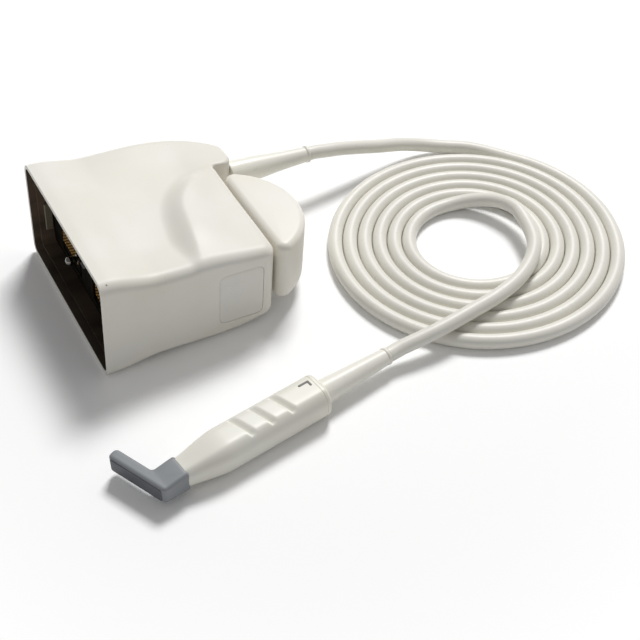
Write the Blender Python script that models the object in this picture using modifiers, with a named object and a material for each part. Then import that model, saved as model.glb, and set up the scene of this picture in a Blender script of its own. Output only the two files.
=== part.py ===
"""Ultrasound probe: a plug-in connector with its lock lever, a coiled cable and a hockey-stick handset.

Units are metres, +Z is up and the table is the plane z = 0. The connector's mouth faces -X,
its cable and lever are on its +X side, and the handset lies beside it on the -Y side.

Each sub-assembly is modelled in its own frame and hung on an empty that places it:
  connector  x runs from the mouth's rim into the body, z = 0 is the middle of its height
  lock       the same directions, with its origin on the shaft's axis
  handset    x runs from the handle's rear end to the nose, z = 0 is the middle of its thickness
"""
import math

import bmesh
import bpy
import numpy as np
from mathutils import Matrix, Vector

MM = 0.001
GAP = 0.3 * MM                      # left between pieces that touch

# Where the sub-assemblies lie on the table, from the middle of the mouth's lower lip
FRAME_ORIGIN = (56.27 * MM, -35.59 * MM)
HANDSET_REAR = (65.9 * MM, -99.7 * MM)
HANDSET_YAW = math.radians(188.9)
COIL_CENTRE = (177.2 * MM, -46.5 * MM)

# Connector housing
HOUSING_WIDTH = 91.4 * MM
HOUSING_LENGTH = 75.5 * MM          # mouth to the wall behind the lever
HOUSING_WALL = 1.8 * MM
MOUTH_HALF_HEIGHT = 24.2 * MM
LIP_DEPTH = 3.0 * MM                # full height is kept this far in
WAIST_HALF_HEIGHT = 20.9 * MM
WAIST_DEPTH = 25.0 * MM
BELLY_HALF_HEIGHT = 21.0 * MM
BELLY_DEPTH = 46.0 * MM
REAR_HALF_HEIGHT = 18.6 * MM
BOSS_HALF_HEIGHT = 17.8 * MM
BOSS_REACH = 10.5 * MM              # how far the cable boss stands behind the lever's wall
RIM_RADIUS = 5.0 * MM               # round along the long edges
REAR_CORNER_RADIUS = 5.4 * MM
BOSS_CORNER_RADIUS = 5.2 * MM
FAR_CORNER_RADIUS = 40.0 * MM
FAR_CORNER_OVERHANG = 10.0 * MM     # of the far corner's arc past the boss's end face
BAY_FILLET = 2.0 * MM

# Thumb scoop in the top, in front of the lever
SCOOP_DEPTH = 3.0 * MM
SCOOP_NEAR_DEPTH = 1.3 * MM         # shallower where it runs out at the near side
SCOOP_START = 50.5 * MM
SCOOP_SLANT = 0.1
SCOOP_CORNER = 12.0 * MM
SCOOP_SLOPE = 8.5 * MM

# Label on the near side
LABEL_LENGTH = 20.0 * MM
LABEL_HEIGHT = 25.4 * MM
LABEL_END = 69.5 * MM
LABEL_DROP = 0.6 * MM
LABEL_RECESS = 0.8 * MM
LABEL_THICKNESS = 0.45 * MM
LABEL_CORNER = 3.0 * MM

# Plug inside the mouth
SHIELD_START = 3.0 * MM
SHIELD_LENGTH = 10.0 * MM
SHIELD_WALL = 1.0 * MM
BLOCK_FACE = 9.0 * MM               # depth of the contact block's face
BLOCK_THICKNESS = 13.0 * MM
FIELD_WIDTH = 23.0 * MM
FIELD_HEIGHT = 30.0 * MM
FIELD_OFFSET = 18.5 * MM            # from the plug axis to a contact field's middle
FIELD_POCKET = 1.6 * MM
FIELD_BASE = 0.9 * MM
CONTACT_PITCH = 1.8 * MM
CONTACT_WIDTH = 0.8 * MM
CONTACT_HEIGHT = 0.6 * MM
BOARD_THICKNESS = 1.6 * MM
BOARD_MARGIN = 1.4 * MM
KEY_LENGTH = 3.4 * MM
KEY_HEIGHT = 14.0 * MM
KEY_THICKNESS = 1.2 * MM
KEY_RISE = -5.0 * MM

# Lock
SHAFT_RISE = 2.8 * MM               # of the shaft's axis over the housing's mid-plane
SHAFT_RADIUS = 3.0 * MM
SHAFT_TIP = 0.4 * MM                # depth of the shaft's front end behind the rim
SHAFT_SOCKET_RADIUS = 1.7 * MM
SHAFT_SOCKET_DEPTH = 1.4 * MM
SHAFT_CHAMFER = 0.5 * MM
PIN_RADIUS = 0.9 * MM
PIN_LENGTH = 9.6 * MM
PIN_DEPTH = 4.6 * MM
COLLAR_RADIUS = 5.0 * MM
COLLAR_THICKNESS = 1.5 * MM
BUSH_WALL = 2.0 * MM
BUSH_FLANGE = 1.0 * MM
BUSH_FLANGE_RADIUS = 7.2 * MM
HUB_RADIUS = 7.0 * MM
HUB_DEPTH = 9.0 * MM                # how far the insert reaches into the lever
LEVER_STANDOFF = 1.8 * MM
LEVER_DEPTH = 22.4 * MM
LEVER_FAR_REACH = 13.8 * MM         # from the shaft's axis to the far end
LEVER_NEAR_REACH = 46.0 * MM
LEVER_HALF_HEIGHT = 14.6 * MM
LEVER_RIM_RADIUS = 4.6 * MM
LEVER_CORNER_RADIUS = 6.4 * MM
LEVER_SWEEP_CLEARANCE = 0.7 * MM

# Cable and its strain reliefs
CABLE_RADIUS = 3.25 * MM
COIL_OUTER_RADIUS = 67.4 * MM
COIL_INNER_RADIUS = 22.0 * MM
RELIEF_OUTLET = (24.4 * MM, 6.0 * MM)    # across and above the housing's middle
RELIEF_LENGTH = 41.0 * MM
RELIEF_ROOT_RADIUS = 6.0 * MM
RELIEF_TIP_RADIUS = 3.9 * MM
RELIEF_NECK_RADIUS = 3.6 * MM
RELIEF_STUB = 20.0 * MM             # from the boss's end face to the neck's inner end
CLAMP_WALL = 2.2 * MM
CLAMP_LENGTH = 5.0 * MM
LOOM_RADIUS = 2.6 * MM

# Handset
HANDLE_LENGTH = 62.0 * MM
HANDLE_HALF_WIDTH = 8.5 * MM
HANDLE_HALF_THICKNESS = 7.5 * MM    # between the flats above and below
HANDLE_CORNER_RADIUS = 6.4 * MM
HANDLE_FLAT_DEPTH = 1.0 * MM
HANDLE_WALL = 1.5 * MM
TAPER_START = 42.5 * MM
NECK_HALF_WIDTH = 5.6 * MM
NECK_HALF_THICKNESS = 4.8 * MM
GROOVE_FIRST = 15.0 * MM
GROOVE_PITCH = 9.4 * MM
GROOVE_COUNT = 3
GROOVE_WIDTH = 4.2 * MM
GROOVE_LENGTH = 12.0 * MM
GROOVE_DEPTH = 0.8 * MM
END_CAP_THICKNESS = 2.4 * MM
END_CAP_ROUND = 1.2 * MM
BOOT_LENGTH = 34.0 * MM
BOOT_ROOT_RADIUS = 4.9 * MM
BOOT_TIP_RADIUS = 3.7 * MM
BOOT_NECK_RADIUS = 3.6 * MM
BOOT_STUB = 9.0 * MM
FERRULE_WALL = 1.4 * MM
FERRULE_LENGTH = 5.0 * MM

# Head
HEAD_NECK_LENGTH = 9.0 * MM         # handle to the inner corner
HEAD_SPIGOT = 4.0 * MM
FOOT_LENGTH = 28.0 * MM
FOOT_LEAN = math.radians(16.8)      # forward of square to the handle
FOOT_THICKNESS = 5.0 * MM
FOOT_HALF_HEIGHT = 4.1 * MM
FOOT_HEEL = 6.2 * MM                # from the handle's axis to the foot's near end
FOOT_CORNER_RADIUS = 1.5 * MM
FOOT_EDGE_RADIUS = 0.8 * MM
LENS_LENGTH = 23.6 * MM
LENS_HEIGHT = 6.0 * MM
LENS_THICKNESS = 1.2 * MM
LENS_PROUD = 0.4 * MM
STACK_THICKNESS = 1.8 * MM
STACK_MARGIN = 0.5 * MM
NECK_BORE_RADIUS = 2.4 * MM
FLEX_WIDTH = 3.8 * MM
FLEX_THICKNESS = 0.4 * MM
HANDSET_BOARD_THICKNESS = 1.0 * MM
HANDSET_BOARD_START = 12.0 * MM
HANDSET_BOARD_END = 40.0 * MM

# Route points of the cable's free stretches, from the middle of the mouth's lower lip
LEAD_ROUTE = (
    (138.0 * MM, 24.4 * MM, 20.2 * MM),
    (146.0 * MM, 24.4 * MM, 18.6 * MM),
    (156.0 * MM, 24.5 * MM, 15.8 * MM),
    (168.8 * MM, 24.6 * MM, 12.0 * MM),
    (180.2 * MM, 24.6 * MM, 9.0 * MM),
    (187.5 * MM, 23.15 * MM, 6.6 * MM),
)
TAIL_ROUTE = (
    (109.0 * MM, -93.2 * MM, 7.9 * MM),
    (118.0 * MM, -93.4 * MM, 8.9 * MM),
    (127.4 * MM, -93.2 * MM, 9.8 * MM),
    (144.1 * MM, -91.1 * MM, 10.3 * MM),
    (161.3 * MM, -88.0 * MM, 10.3 * MM),
    (175.0 * MM, -83.2 * MM, 10.3 * MM),
    (186.7 * MM, -75.4 * MM, 10.3 * MM),
    (194.8 * MM, -65.6 * MM, 10.3 * MM),
    (198.0 * MM, -56.0 * MM, 10.3 * MM),
)

# Fineness of round shapes
ARC_STEPS = 5
TURN_STEPS = 24
COIL_STEPS = 48
CABLE_POINT_SPACING = 2.4 * 2 * CABLE_RADIUS


# Scene, collections and materials

for old in list(bpy.data.objects):
    bpy.data.objects.remove(old, do_unlink=True)

PARTS = bpy.data.collections.new("ultrasound_probe")
CUTTERS = bpy.data.collections.new("cutters")
bpy.context.scene.collection.children.link(PARTS)
bpy.context.scene.collection.children.link(CUTTERS)


def material(name, colour, roughness, metallic=0.0):
    """Principled material with one colour."""
    made = bpy.data.materials.new(name)
    made.use_nodes = True
    shader = made.node_tree.nodes["Principled BSDF"]
    shader.inputs["Base Color"].default_value = (*colour, 1.0)
    shader.inputs["Roughness"].default_value = roughness
    shader.inputs["Metallic"].default_value = metallic
    made.diffuse_color = (*colour, 1.0)
    return made


HOUSING_PLASTIC = material("housing_plastic", (0.80, 0.78, 0.72), 0.42)
LEVER_PLASTIC = material("lever_plastic", (0.84, 0.81, 0.73), 0.40)
LABEL_FILM = material("label_film", (0.76, 0.74, 0.68), 0.35)
CABLE_JACKET = material("cable_jacket", (0.76, 0.73, 0.65), 0.45)
HANDLE_PLASTIC = material("handle_plastic", (0.82, 0.79, 0.71), 0.38)
HEAD_PLASTIC = material("head_plastic", (0.27, 0.29, 0.33), 0.42)
LENS_RUBBER = material("lens_rubber", (0.08, 0.085, 0.10), 0.5)
DARK_INSULATOR = material("dark_insulator", (0.02, 0.016, 0.013), 0.5)
DARK_SHIELD = material("dark_shield", (0.05, 0.042, 0.035), 0.5, 0.3)
GOLD = material("contact_gold", (0.75, 0.50, 0.16), 0.3, 1.0)
KEY_PLASTIC = material("key_plastic", (0.42, 0.38, 0.28), 0.5)
STEEL = material("polished_steel", (0.62, 0.62, 0.63), 0.2, 1.0)
BRASS = material("brass", (0.62, 0.50, 0.26), 0.35, 1.0)
BOARD = material("circuit_board", (0.05, 0.16, 0.08), 0.5)
FILM = material("flex_film", (0.45, 0.24, 0.06), 0.45)
CERAMIC = material("array_ceramic", (0.30, 0.28, 0.26), 0.6)


# Shapes in the plane and along a length

def smooth(share):
    """Rise from 0 to 1 with level ends."""
    share = min(max(share, 0.0), 1.0)
    return share * share * (3 - 2 * share)


def eased(stations):
    """Function through (position, value) stations that never overshoots them."""
    places = [p for p, _ in stations]
    values = [v for _, v in stations]
    rises = [(values[i + 1] - values[i]) / (places[i + 1] - places[i]) for i in range(len(places) - 1)]
    slopes = [0.0] + [
        0.0 if a * b <= 0 else 2 * a * b / (a + b) for a, b in zip(rises, rises[1:])
    ] + [rises[-1]]

    def at(place):
        if place <= places[0]:
            return values[0]
        if place >= places[-1]:
            return values[-1]
        i = max(k for k in range(len(places) - 1) if places[k] <= place)
        span = places[i + 1] - places[i]
        t = (place - places[i]) / span
        return (
            (2 * t**3 - 3 * t**2 + 1) * values[i] + (t**3 - 2 * t**2 + t) * span * slopes[i]
            + (3 * t**2 - 2 * t**3) * values[i + 1] + (t**3 - t**2) * span * slopes[i + 1]
        )

    return at


def rounded(corners, steps=ARC_STEPS):
    """Polygon through (x, y, radius) corners, each turned by an arc."""
    points = []
    for i, (x, y, radius) in enumerate(corners):
        here = Vector((x, y))
        if radius == 0:
            points.append(here)
            continue
        back = (Vector(corners[i - 1][:2]) - here).normalized()
        ahead = (Vector(corners[(i + 1) % len(corners)][:2]) - here).normalized()
        half = back.angle(ahead) / 2
        centre = here + (back + ahead).normalized() * radius / math.sin(half)
        start = here + back * radius / math.tan(half) - centre
        end = here + ahead * radius / math.tan(half) - centre
        first = math.atan2(start.y, start.x)
        turn = (math.atan2(end.y, end.x) - first + math.pi) % (2 * math.pi) - math.pi
        for k in range(steps + 1):
            angle = first + turn * k / steps
            points.append(centre + radius * Vector((math.cos(angle), math.sin(angle))))
    return points


def rounded_rectangle(half_width, half_height, radius, steps=ARC_STEPS):
    """Rounded rectangle about the origin."""
    return rounded([
        (half_width, -half_height, radius), (half_width, half_height, radius),
        (-half_width, half_height, radius), (-half_width, -half_height, radius),
    ], steps)


# Objects

def add_object(name, mesh, finish, parent):
    """Put a mesh in the parts, under its sub-assembly's empty."""
    mesh.name = name
    made = bpy.data.objects.new(name, mesh)
    PARTS.objects.link(made)
    made.parent = parent
    mesh.materials.clear()
    mesh.materials.append(finish)
    return made


def add_cutter(name, mesh, parent):
    """Put a mesh among the cutters, which are not part of the object."""
    made = bpy.data.objects.new(name, mesh)
    CUTTERS.objects.link(made)
    made.parent = parent
    made.display_type = "WIRE"
    made.hide_render = True
    return made


def combine(target, tool, operation):
    """Live Boolean between two objects."""
    step = target.modifiers.new(operation.lower() + "_" + tool.name, "BOOLEAN")
    step.operation = operation
    step.solver = "EXACT"
    step.object = tool


def shade(target, angle=35.0):
    """Smooth shading with crisp edges."""
    target.data.shade_smooth()
    target.data.set_sharp_from_angle(angle=math.radians(angle))


def mesh_of(bm, name):
    """Mesh from a bmesh, which is freed."""
    mesh = bpy.data.meshes.new(name)
    bm.to_mesh(mesh)
    bm.free()
    return mesh


def box_bmesh(low, high):
    """Box between two corners."""
    bm = bmesh.new()
    bmesh.ops.create_cube(bm, size=1.0)
    size = [h - l for l, h in zip(low, high)]
    middle = [(h + l) / 2 for l, h in zip(low, high)]
    bmesh.ops.scale(bm, vec=size, verts=bm.verts)
    bmesh.ops.translate(bm, vec=middle, verts=bm.verts)
    return bm


def bevel_edges(bm, wanted, radius, segments):
    """Round the edges that a test picks."""
    edges = [e for e in bm.edges if wanted(e)]
    bmesh.ops.bevel(
        bm, geom=edges, offset=radius, offset_type="OFFSET", segments=segments,
        profile=0.5, affect="EDGES", clamp_overlap=False,
    )


def box_mesh(name, low, high, radius=0.0, segments=2):
    """Box between two corners, with every edge rounded if a radius is given."""
    bm = box_bmesh(low, high)
    if radius:
        bevel_edges(bm, lambda e: True, radius, segments)
    return mesh_of(bm, name)


def plate_mesh(name, outline, low, high, placing=None, holes=()):
    """Flat outline, drawn in the XY plane and thickened from low to high along Z."""
    curve = bpy.data.curves.new(name, "CURVE")
    curve.dimensions = "2D"
    curve.fill_mode = "BOTH"
    curve.extrude = (high - low) / 2
    for loop in (outline, *holes):
        spline = curve.splines.new("POLY")
        spline.points.add(len(loop) - 1)
        for point, (x, y) in zip(spline.points, loop):
            point.co = (x, y, 0.0, 1.0)
        spline.use_cyclic_u = True
    drawing = bpy.data.objects.new(name, curve)
    bpy.context.scene.collection.objects.link(drawing)
    bpy.context.view_layer.update()
    mesh = bpy.data.meshes.new_from_object(drawing.evaluated_get(bpy.context.evaluated_depsgraph_get()))
    bpy.data.objects.remove(drawing)
    bpy.data.curves.remove(curve)
    bm = bmesh.new()
    bm.from_mesh(mesh)
    bmesh.ops.remove_doubles(bm, verts=bm.verts, dist=1e-7)
    bmesh.ops.dissolve_limit(bm, angle_limit=math.radians(0.5), verts=bm.verts, edges=bm.edges)
    bmesh.ops.translate(bm, vec=(0, 0, (high + low) / 2), verts=bm.verts)
    if placing is not None:
        bmesh.ops.transform(bm, matrix=placing, verts=bm.verts)
    bmesh.ops.recalc_face_normals(bm, faces=bm.faces)
    bm.to_mesh(mesh)
    bm.free()
    return mesh


def turned(name, profile, finish, parent, place, closed=False, steps=TURN_STEPS):
    """Solid of revolution about the sub-assembly's X axis through a place.

    The profile lists (distance along the axis, radius) from the low end to the high end,
    outer side first; a closed profile comes back along its bore.
    """
    mesh = bpy.data.meshes.new(name)
    ordered = list(reversed(profile)) if not closed else list(profile)
    if closed:
        ordered.reverse()
    count = len(ordered)
    edges = [(i, i + 1) for i in range(count - 1)] + ([(count - 1, 0)] if closed else [])
    mesh.from_pydata([(radius, 0.0, along) for along, radius in ordered], edges, [])
    made = add_object(name, mesh, finish, parent)
    screw = made.modifiers.new("turn", "SCREW")
    screw.steps = steps
    screw.render_steps = steps
    screw.use_merge_vertices = True
    screw.merge_threshold = 1e-6
    screw.use_smooth_shade = True
    made.location = place
    made.rotation_euler = (0.0, math.pi / 2, 0.0)
    return made


def cylinder_cutter(name, radius, low, high, place, parent, steps=TURN_STEPS):
    """Cylinder along X for a round hole."""
    bm = bmesh.new()
    bmesh.ops.create_cone(
        bm, cap_ends=True, segments=steps, radius1=radius, radius2=radius, depth=high - low
    )
    along = Matrix.Translation(place) @ Matrix.Translation(((low + high) / 2, 0, 0))
    bmesh.ops.transform(bm, matrix=along @ Matrix.Rotation(math.pi / 2, 4, "Y"), verts=bm.verts)
    return add_cutter(name, mesh_of(bm, name), parent)


def cut_stations(bm, axis, stations, faces_wanted=lambda f: True):
    """Cross a mesh with planes square to an axis, so that it can be shaped between them."""
    normal = Vector((0.0, 0.0, 0.0))
    normal[axis] = 1.0
    for station in stations:
        faces = [f for f in bm.faces if faces_wanted(f)]
        edges = {e for f in faces for e in f.edges}
        verts = {v for f in faces for v in f.verts}
        bmesh.ops.bisect_plane(
            bm, geom=[*verts, *edges, *faces], dist=1e-7, plane_co=normal * station, plane_no=normal
        )


def smooth_route(points, spacing):
    """Points at even spacing along a centripetal curve through the route's own points."""
    knots = [Vector(p) for p in points]
    padded = [2 * knots[0] - knots[1], *knots, 2 * knots[-1] - knots[-2]]
    fine = []
    for a, b, c, d in zip(padded, padded[1:], padded[2:], padded[3:]):
        t1 = (b - a).length ** 0.5
        t2 = t1 + (c - b).length ** 0.5
        t3 = t2 + (d - c).length ** 0.5
        for k in range(24):
            t = t1 + (t2 - t1) * k / 24
            ab = a.lerp(b, t / t1)
            bc = b.lerp(c, (t - t1) / (t2 - t1))
            cd = c.lerp(d, (t - t2) / (t3 - t2))
            fine.append(ab.lerp(bc, t / t2).lerp(bc.lerp(cd, (t - t1) / (t3 - t1)), (t - t1) / (t2 - t1)))
    fine.append(knots[-1])
    steps = [0.0, *np.cumsum([(q - p).length for p, q in zip(fine, fine[1:])])]
    count = max(2, round(steps[-1] / spacing))
    wanted = np.linspace(0.0, steps[-1], count + 1)
    return list(zip(*(np.interp(wanted, steps, [p[i] for p in fine]) for i in range(3))))


def cable_tube(name, points, parent):
    """Round cable along points."""
    curve = bpy.data.curves.new(name, "CURVE")
    curve.dimensions = "3D"
    curve.bevel_depth = CABLE_RADIUS
    curve.bevel_resolution = 3
    curve.use_fill_caps = True
    spline = curve.splines.new("POLY")
    spline.points.add(len(points) - 1)
    for point, place in zip(spline.points, points):
        point.co = (*place, 1.0)
    curve.materials.append(CABLE_JACKET)
    made = bpy.data.objects.new(name, curve)
    PARTS.objects.link(made)
    made.parent = parent
    return made


# Placing the sub-assemblies

housing_half_height = eased([
    (LIP_DEPTH, MOUTH_HALF_HEIGHT),
    (WAIST_DEPTH, WAIST_HALF_HEIGHT),
    (BELLY_DEPTH, BELLY_HALF_HEIGHT),
    (HOUSING_LENGTH, REAR_HALF_HEIGHT),
    (HOUSING_LENGTH + BOSS_REACH, BOSS_HALF_HEIGHT),
])
HOUSING_END = HOUSING_LENGTH + BOSS_REACH
SCOOP_EDGE = SCOOP_START - 9 * MM
FRONT_STATIONS = [LIP_DEPTH + (SCOOP_EDGE - LIP_DEPTH) * k / 9 for k in range(10)]
SCOOP_STATIONS = [SCOOP_EDGE + (HOUSING_LENGTH - SCOOP_EDGE) * k / 10 for k in range(1, 11)]
LENGTH_STATIONS = FRONT_STATIONS + SCOOP_STATIONS + [HOUSING_END - RIM_RADIUS]

# The connector leans back on the table, on one station of its lip and one of its belly
REST_SLOPE, REST_LIP = max(
    (min(
        (housing_half_height(lip) - housing_half_height(belly)) / (belly - lip)
        for belly in LENGTH_STATIONS if WAIST_DEPTH < belly <= HOUSING_LENGTH
    ), lip)
    for lip in LENGTH_STATIONS if lip < WAIST_DEPTH
)
CONNECTOR_PITCH = math.atan(REST_SLOPE)
AXIS_HEIGHT = (housing_half_height(REST_LIP) + REST_SLOPE * REST_LIP) * math.cos(CONNECTOR_PITCH)


def add_empty(name, parent, location=(0.0, 0.0, 0.0), rotation=(0.0, 0.0, 0.0)):
    """Empty that places a sub-assembly."""
    made = bpy.data.objects.new(name, None)
    PARTS.objects.link(made)
    made.parent = parent
    made.location = location
    made.rotation_euler = rotation
    return made


TABLE = add_empty("table_frame", None, (-FRAME_ORIGIN[0], -FRAME_ORIGIN[1], 0.0))
CONNECTOR = add_empty(
    "connector_frame", TABLE,
    (MOUTH_HALF_HEIGHT * math.sin(CONNECTOR_PITCH), 0.0, AXIS_HEIGHT),
    (0.0, CONNECTOR_PITCH, 0.0),
)
LOCK = add_empty("lock_frame", CONNECTOR, (0.0, 0.0, SHAFT_RISE))
HANDSET = add_empty(
    "handset_frame", TABLE, (*HANDSET_REAR, HANDLE_HALF_THICKNESS), (0.0, 0.0, HANDSET_YAW)
)


# Connector housing

HALF_WIDTH = HOUSING_WIDTH / 2
LEVER_SWEEP = LEVER_RIM_RADIUS + math.hypot(
    LEVER_FAR_REACH - LEVER_RIM_RADIUS, LEVER_HALF_HEIGHT - LEVER_RIM_RADIUS
)
BAY_WALL = LEVER_SWEEP + LEVER_SWEEP_CLEARANCE   # from the shaft's axis to the cable boss


def scoop_depth(x, y):
    """Depth of the thumb scoop at a place on the housing's top."""
    along = x - (SCOOP_START - SCOOP_SLOPE / 2 + SCOOP_SLANT * y)
    across = BAY_WALL - y
    corner = math.hypot(max(SCOOP_CORNER - along, 0.0), max(SCOOP_CORNER - across, 0.0))
    inside = SCOOP_CORNER - corner
    side = smooth((y + HALF_WIDTH) / (HALF_WIDTH / 2))
    depth = SCOOP_NEAR_DEPTH + (SCOOP_DEPTH - SCOOP_NEAR_DEPTH) * side
    return depth * smooth(inside / SCOOP_SLOPE)


def housing_form(name, inset, front):
    """Closed rounded prism, shaped along its length and at the scoop, a wall's inset from the outside."""
    half_width = HALF_WIDTH - inset
    end = HOUSING_END - inset
    arc_radius = FAR_CORNER_RADIUS - inset
    arc_centre = Vector((
        HOUSING_END + FAR_CORNER_OVERHANG - FAR_CORNER_RADIUS, HALF_WIDTH - FAR_CORNER_RADIUS))
    first = math.acos((end - arc_centre.x) / arc_radius)
    far_arc = [
        (*(arc_centre + arc_radius * Vector((math.cos(a), math.sin(a)))), 0.0)
        for a in np.linspace(first, math.pi / 2, 9)
    ]
    outline = rounded([
        (front, -half_width, 0.0),
        (HOUSING_LENGTH - inset, -half_width, REAR_CORNER_RADIUS - inset),
        (HOUSING_LENGTH - inset, BAY_WALL + inset, BAY_FILLET + inset),
        (end, BAY_WALL + inset, BOSS_CORNER_RADIUS - inset),
        *far_arc,
        (front, half_width, 0.0),
    ])
    full = MOUTH_HALF_HEIGHT - inset
    mesh = plate_mesh(name, outline, -full, full)
    bm = bmesh.new()
    bm.from_mesh(mesh)
    rim = RIM_RADIUS - inset

    def on_rim(edge):
        a, b = (v.co for v in edge.verts)
        return abs(a.z - b.z) < 1e-6 and max(a.x, b.x) > front + 1e-5

    bevel_edges(bm, on_rim, rim, 4)
    cut_stations(bm, 0, LENGTH_STATIONS)
    near_lines = [-HALF_WIDTH + RIM_RADIUS + 7 * MM * k for k in range(1, 6)]
    scoop_lines = [BAY_WALL - SCOOP_CORNER + SCOOP_CORNER * k / 5 for k in range(6)]
    far_lines = [BAY_WALL + 9 * MM, BAY_WALL + 18 * MM]

    def upper(face):
        return face.calc_center_median().z > full - rim

    cut_stations(bm, 1, near_lines + scoop_lines + far_lines, upper)
    bmesh.ops.remove_doubles(bm, verts=bm.verts, dist=0.02 * MM)
    for vert in bm.verts:
        share = vert.co.z / full
        vert.co.z = share * (housing_half_height(vert.co.x) - inset)
        if share > 0:
            vert.co.z -= scoop_depth(vert.co.x, vert.co.y) * smooth(share)
    bmesh.ops.triangulate(bm, faces=bm.faces)
    bmesh.ops.recalc_face_normals(bm, faces=bm.faces)
    bm.to_mesh(mesh)
    bm.free()
    return mesh


def build_housing():
    """Moulded shell: the outer form less the form one wall further in."""
    housing = add_object(
        "connector_housing", housing_form("housing", 0.0, 0.0), HOUSING_PLASTIC, CONNECTOR)
    hollow = add_cutter("hollow", housing_form("hollow", HOUSING_WALL, -HOUSING_WALL), CONNECTOR)
    combine(housing, hollow, "DIFFERENCE")
    bush_hole = cylinder_cutter(
        "bush_hole", SHAFT_RADIUS + GAP + BUSH_WALL + GAP,
        HOUSING_LENGTH - 3 * HOUSING_WALL, HOUSING_LENGTH + HOUSING_WALL, (0, 0, 0), LOCK)
    combine(housing, bush_hole, "DIFFERENCE")
    outlet = cylinder_cutter(
        "cable_outlet", RELIEF_NECK_RADIUS + GAP, HOUSING_END - 3 * HOUSING_WALL,
        HOUSING_END + HOUSING_WALL, (0, *RELIEF_OUTLET), CONNECTOR)
    combine(housing, outlet, "DIFFERENCE")
    recess = add_cutter("label_recess", label_mesh("label_recess", 0.0, LABEL_RECESS, -1 * MM), CONNECTOR)
    combine(housing, recess, "DIFFERENCE")
    shade(housing)


def label_mesh(name, inset, deep, shallow):
    """Rounded plate on the near side, between two depths below its surface."""
    outline = rounded_rectangle(
        LABEL_LENGTH / 2 - inset, LABEL_HEIGHT / 2 - inset, LABEL_CORNER - inset)
    upright = Matrix.Translation((LABEL_END - LABEL_LENGTH / 2, -HALF_WIDTH, -LABEL_DROP))
    return plate_mesh(name, outline, -deep, -shallow, upright @ Matrix.Rotation(math.pi / 2, 4, "X"))


def build_label():
    """Bare label plate, just below flush."""
    mesh = label_mesh("side_label", GAP, LABEL_RECESS - GAP, LABEL_RECESS - GAP - LABEL_THICKNESS)
    add_object("side_label", mesh, LABEL_FILM, CONNECTOR)


# Plug inside the mouth

ACROSS = Matrix.Rotation(math.pi / 2, 4, "Z") @ Matrix.Rotation(math.pi / 2, 4, "X")
SHIELD_END = SHIELD_START + SHIELD_LENGTH
BLOCK_BACK = BLOCK_FACE + BLOCK_THICKNESS
SHIELD_HALF_WIDTH = HALF_WIDTH - HOUSING_WALL - GAP
SHIELD_HALF_HEIGHT = housing_half_height(SHIELD_END) - HOUSING_WALL - GAP
BLOCK_HALF_WIDTH = SHIELD_HALF_WIDTH - SHIELD_WALL - GAP
BLOCK_HALF_HEIGHT = min(
    SHIELD_HALF_HEIGHT - SHIELD_WALL, housing_half_height(max(BLOCK_BACK, WAIST_DEPTH)) - HOUSING_WALL
) - GAP
INNER_RADIUS = RIM_RADIUS - HOUSING_WALL


def across_plate(name, outline, front, back, holes=()):
    """Plate square to the plug axis: the outline's x runs along +Y and its y along +Z."""
    return plate_mesh(name, outline, front, back, ACROSS, holes)


def circle(radius, centre=(0.0, 0.0), steps=TURN_STEPS):
    """Points round a circle."""
    return [
        (centre[0] + radius * math.cos(2 * math.pi * k / steps),
         centre[1] + radius * math.sin(2 * math.pi * k / steps))
        for k in range(steps)
    ]


def build_plug():
    """Screening sleeve, contact block with its two contact combs, key and board."""
    outer = rounded_rectangle(SHIELD_HALF_WIDTH, SHIELD_HALF_HEIGHT, INNER_RADIUS)
    inner = rounded_rectangle(
        SHIELD_HALF_WIDTH - SHIELD_WALL, SHIELD_HALF_HEIGHT - SHIELD_WALL, INNER_RADIUS - SHIELD_WALL)
    add_object(
        "inner_shield", across_plate("inner_shield", outer, SHIELD_START, SHIELD_END, [inner]),
        DARK_SHIELD, CONNECTOR)

    shaft_hole = circle(SHAFT_RADIUS + GAP, (0.0, SHAFT_RISE))
    block = add_object("contact_block", across_plate(
        "contact_block", rounded_rectangle(BLOCK_HALF_WIDTH, BLOCK_HALF_HEIGHT, INNER_RADIUS - SHIELD_WALL),
        BLOCK_FACE, BLOCK_BACK, [shaft_hole]), DARK_INSULATOR, CONNECTOR)
    for side, where in ((-1, "near"), (1, "far")):
        middle = side * FIELD_OFFSET
        pocket = add_cutter("pocket_" + where, box_mesh(
            "pocket_" + where,
            (BLOCK_FACE - 1 * MM, middle - FIELD_WIDTH / 2, -FIELD_HEIGHT / 2),
            (BLOCK_FACE + FIELD_POCKET, middle + FIELD_WIDTH / 2, FIELD_HEIGHT / 2)), CONNECTOR)
        combine(block, pocket, "DIFFERENCE")
        add_object("contact_field_" + where, contact_comb(middle), GOLD, CONNECTOR)

    key_wall = SHIELD_HALF_WIDTH - SHIELD_WALL - GAP
    key_back = BLOCK_FACE - GAP
    add_object("guide_key", box_mesh(
        "guide_key", (key_back - KEY_LENGTH, key_wall - KEY_THICKNESS, KEY_RISE - KEY_HEIGHT / 2),
        (key_back, key_wall, KEY_RISE + KEY_HEIGHT / 2), 0.3 * MM, 1), KEY_PLASTIC, CONNECTOR)

    board_front = BLOCK_BACK + GAP
    add_object("interface_board", across_plate(
        "interface_board",
        rounded_rectangle(BLOCK_HALF_WIDTH - BOARD_MARGIN, BLOCK_HALF_HEIGHT - BOARD_MARGIN, 2 * MM, 2),
        board_front, board_front + BOARD_THICKNESS, [shaft_hole]), BOARD, CONNECTOR)


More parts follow.
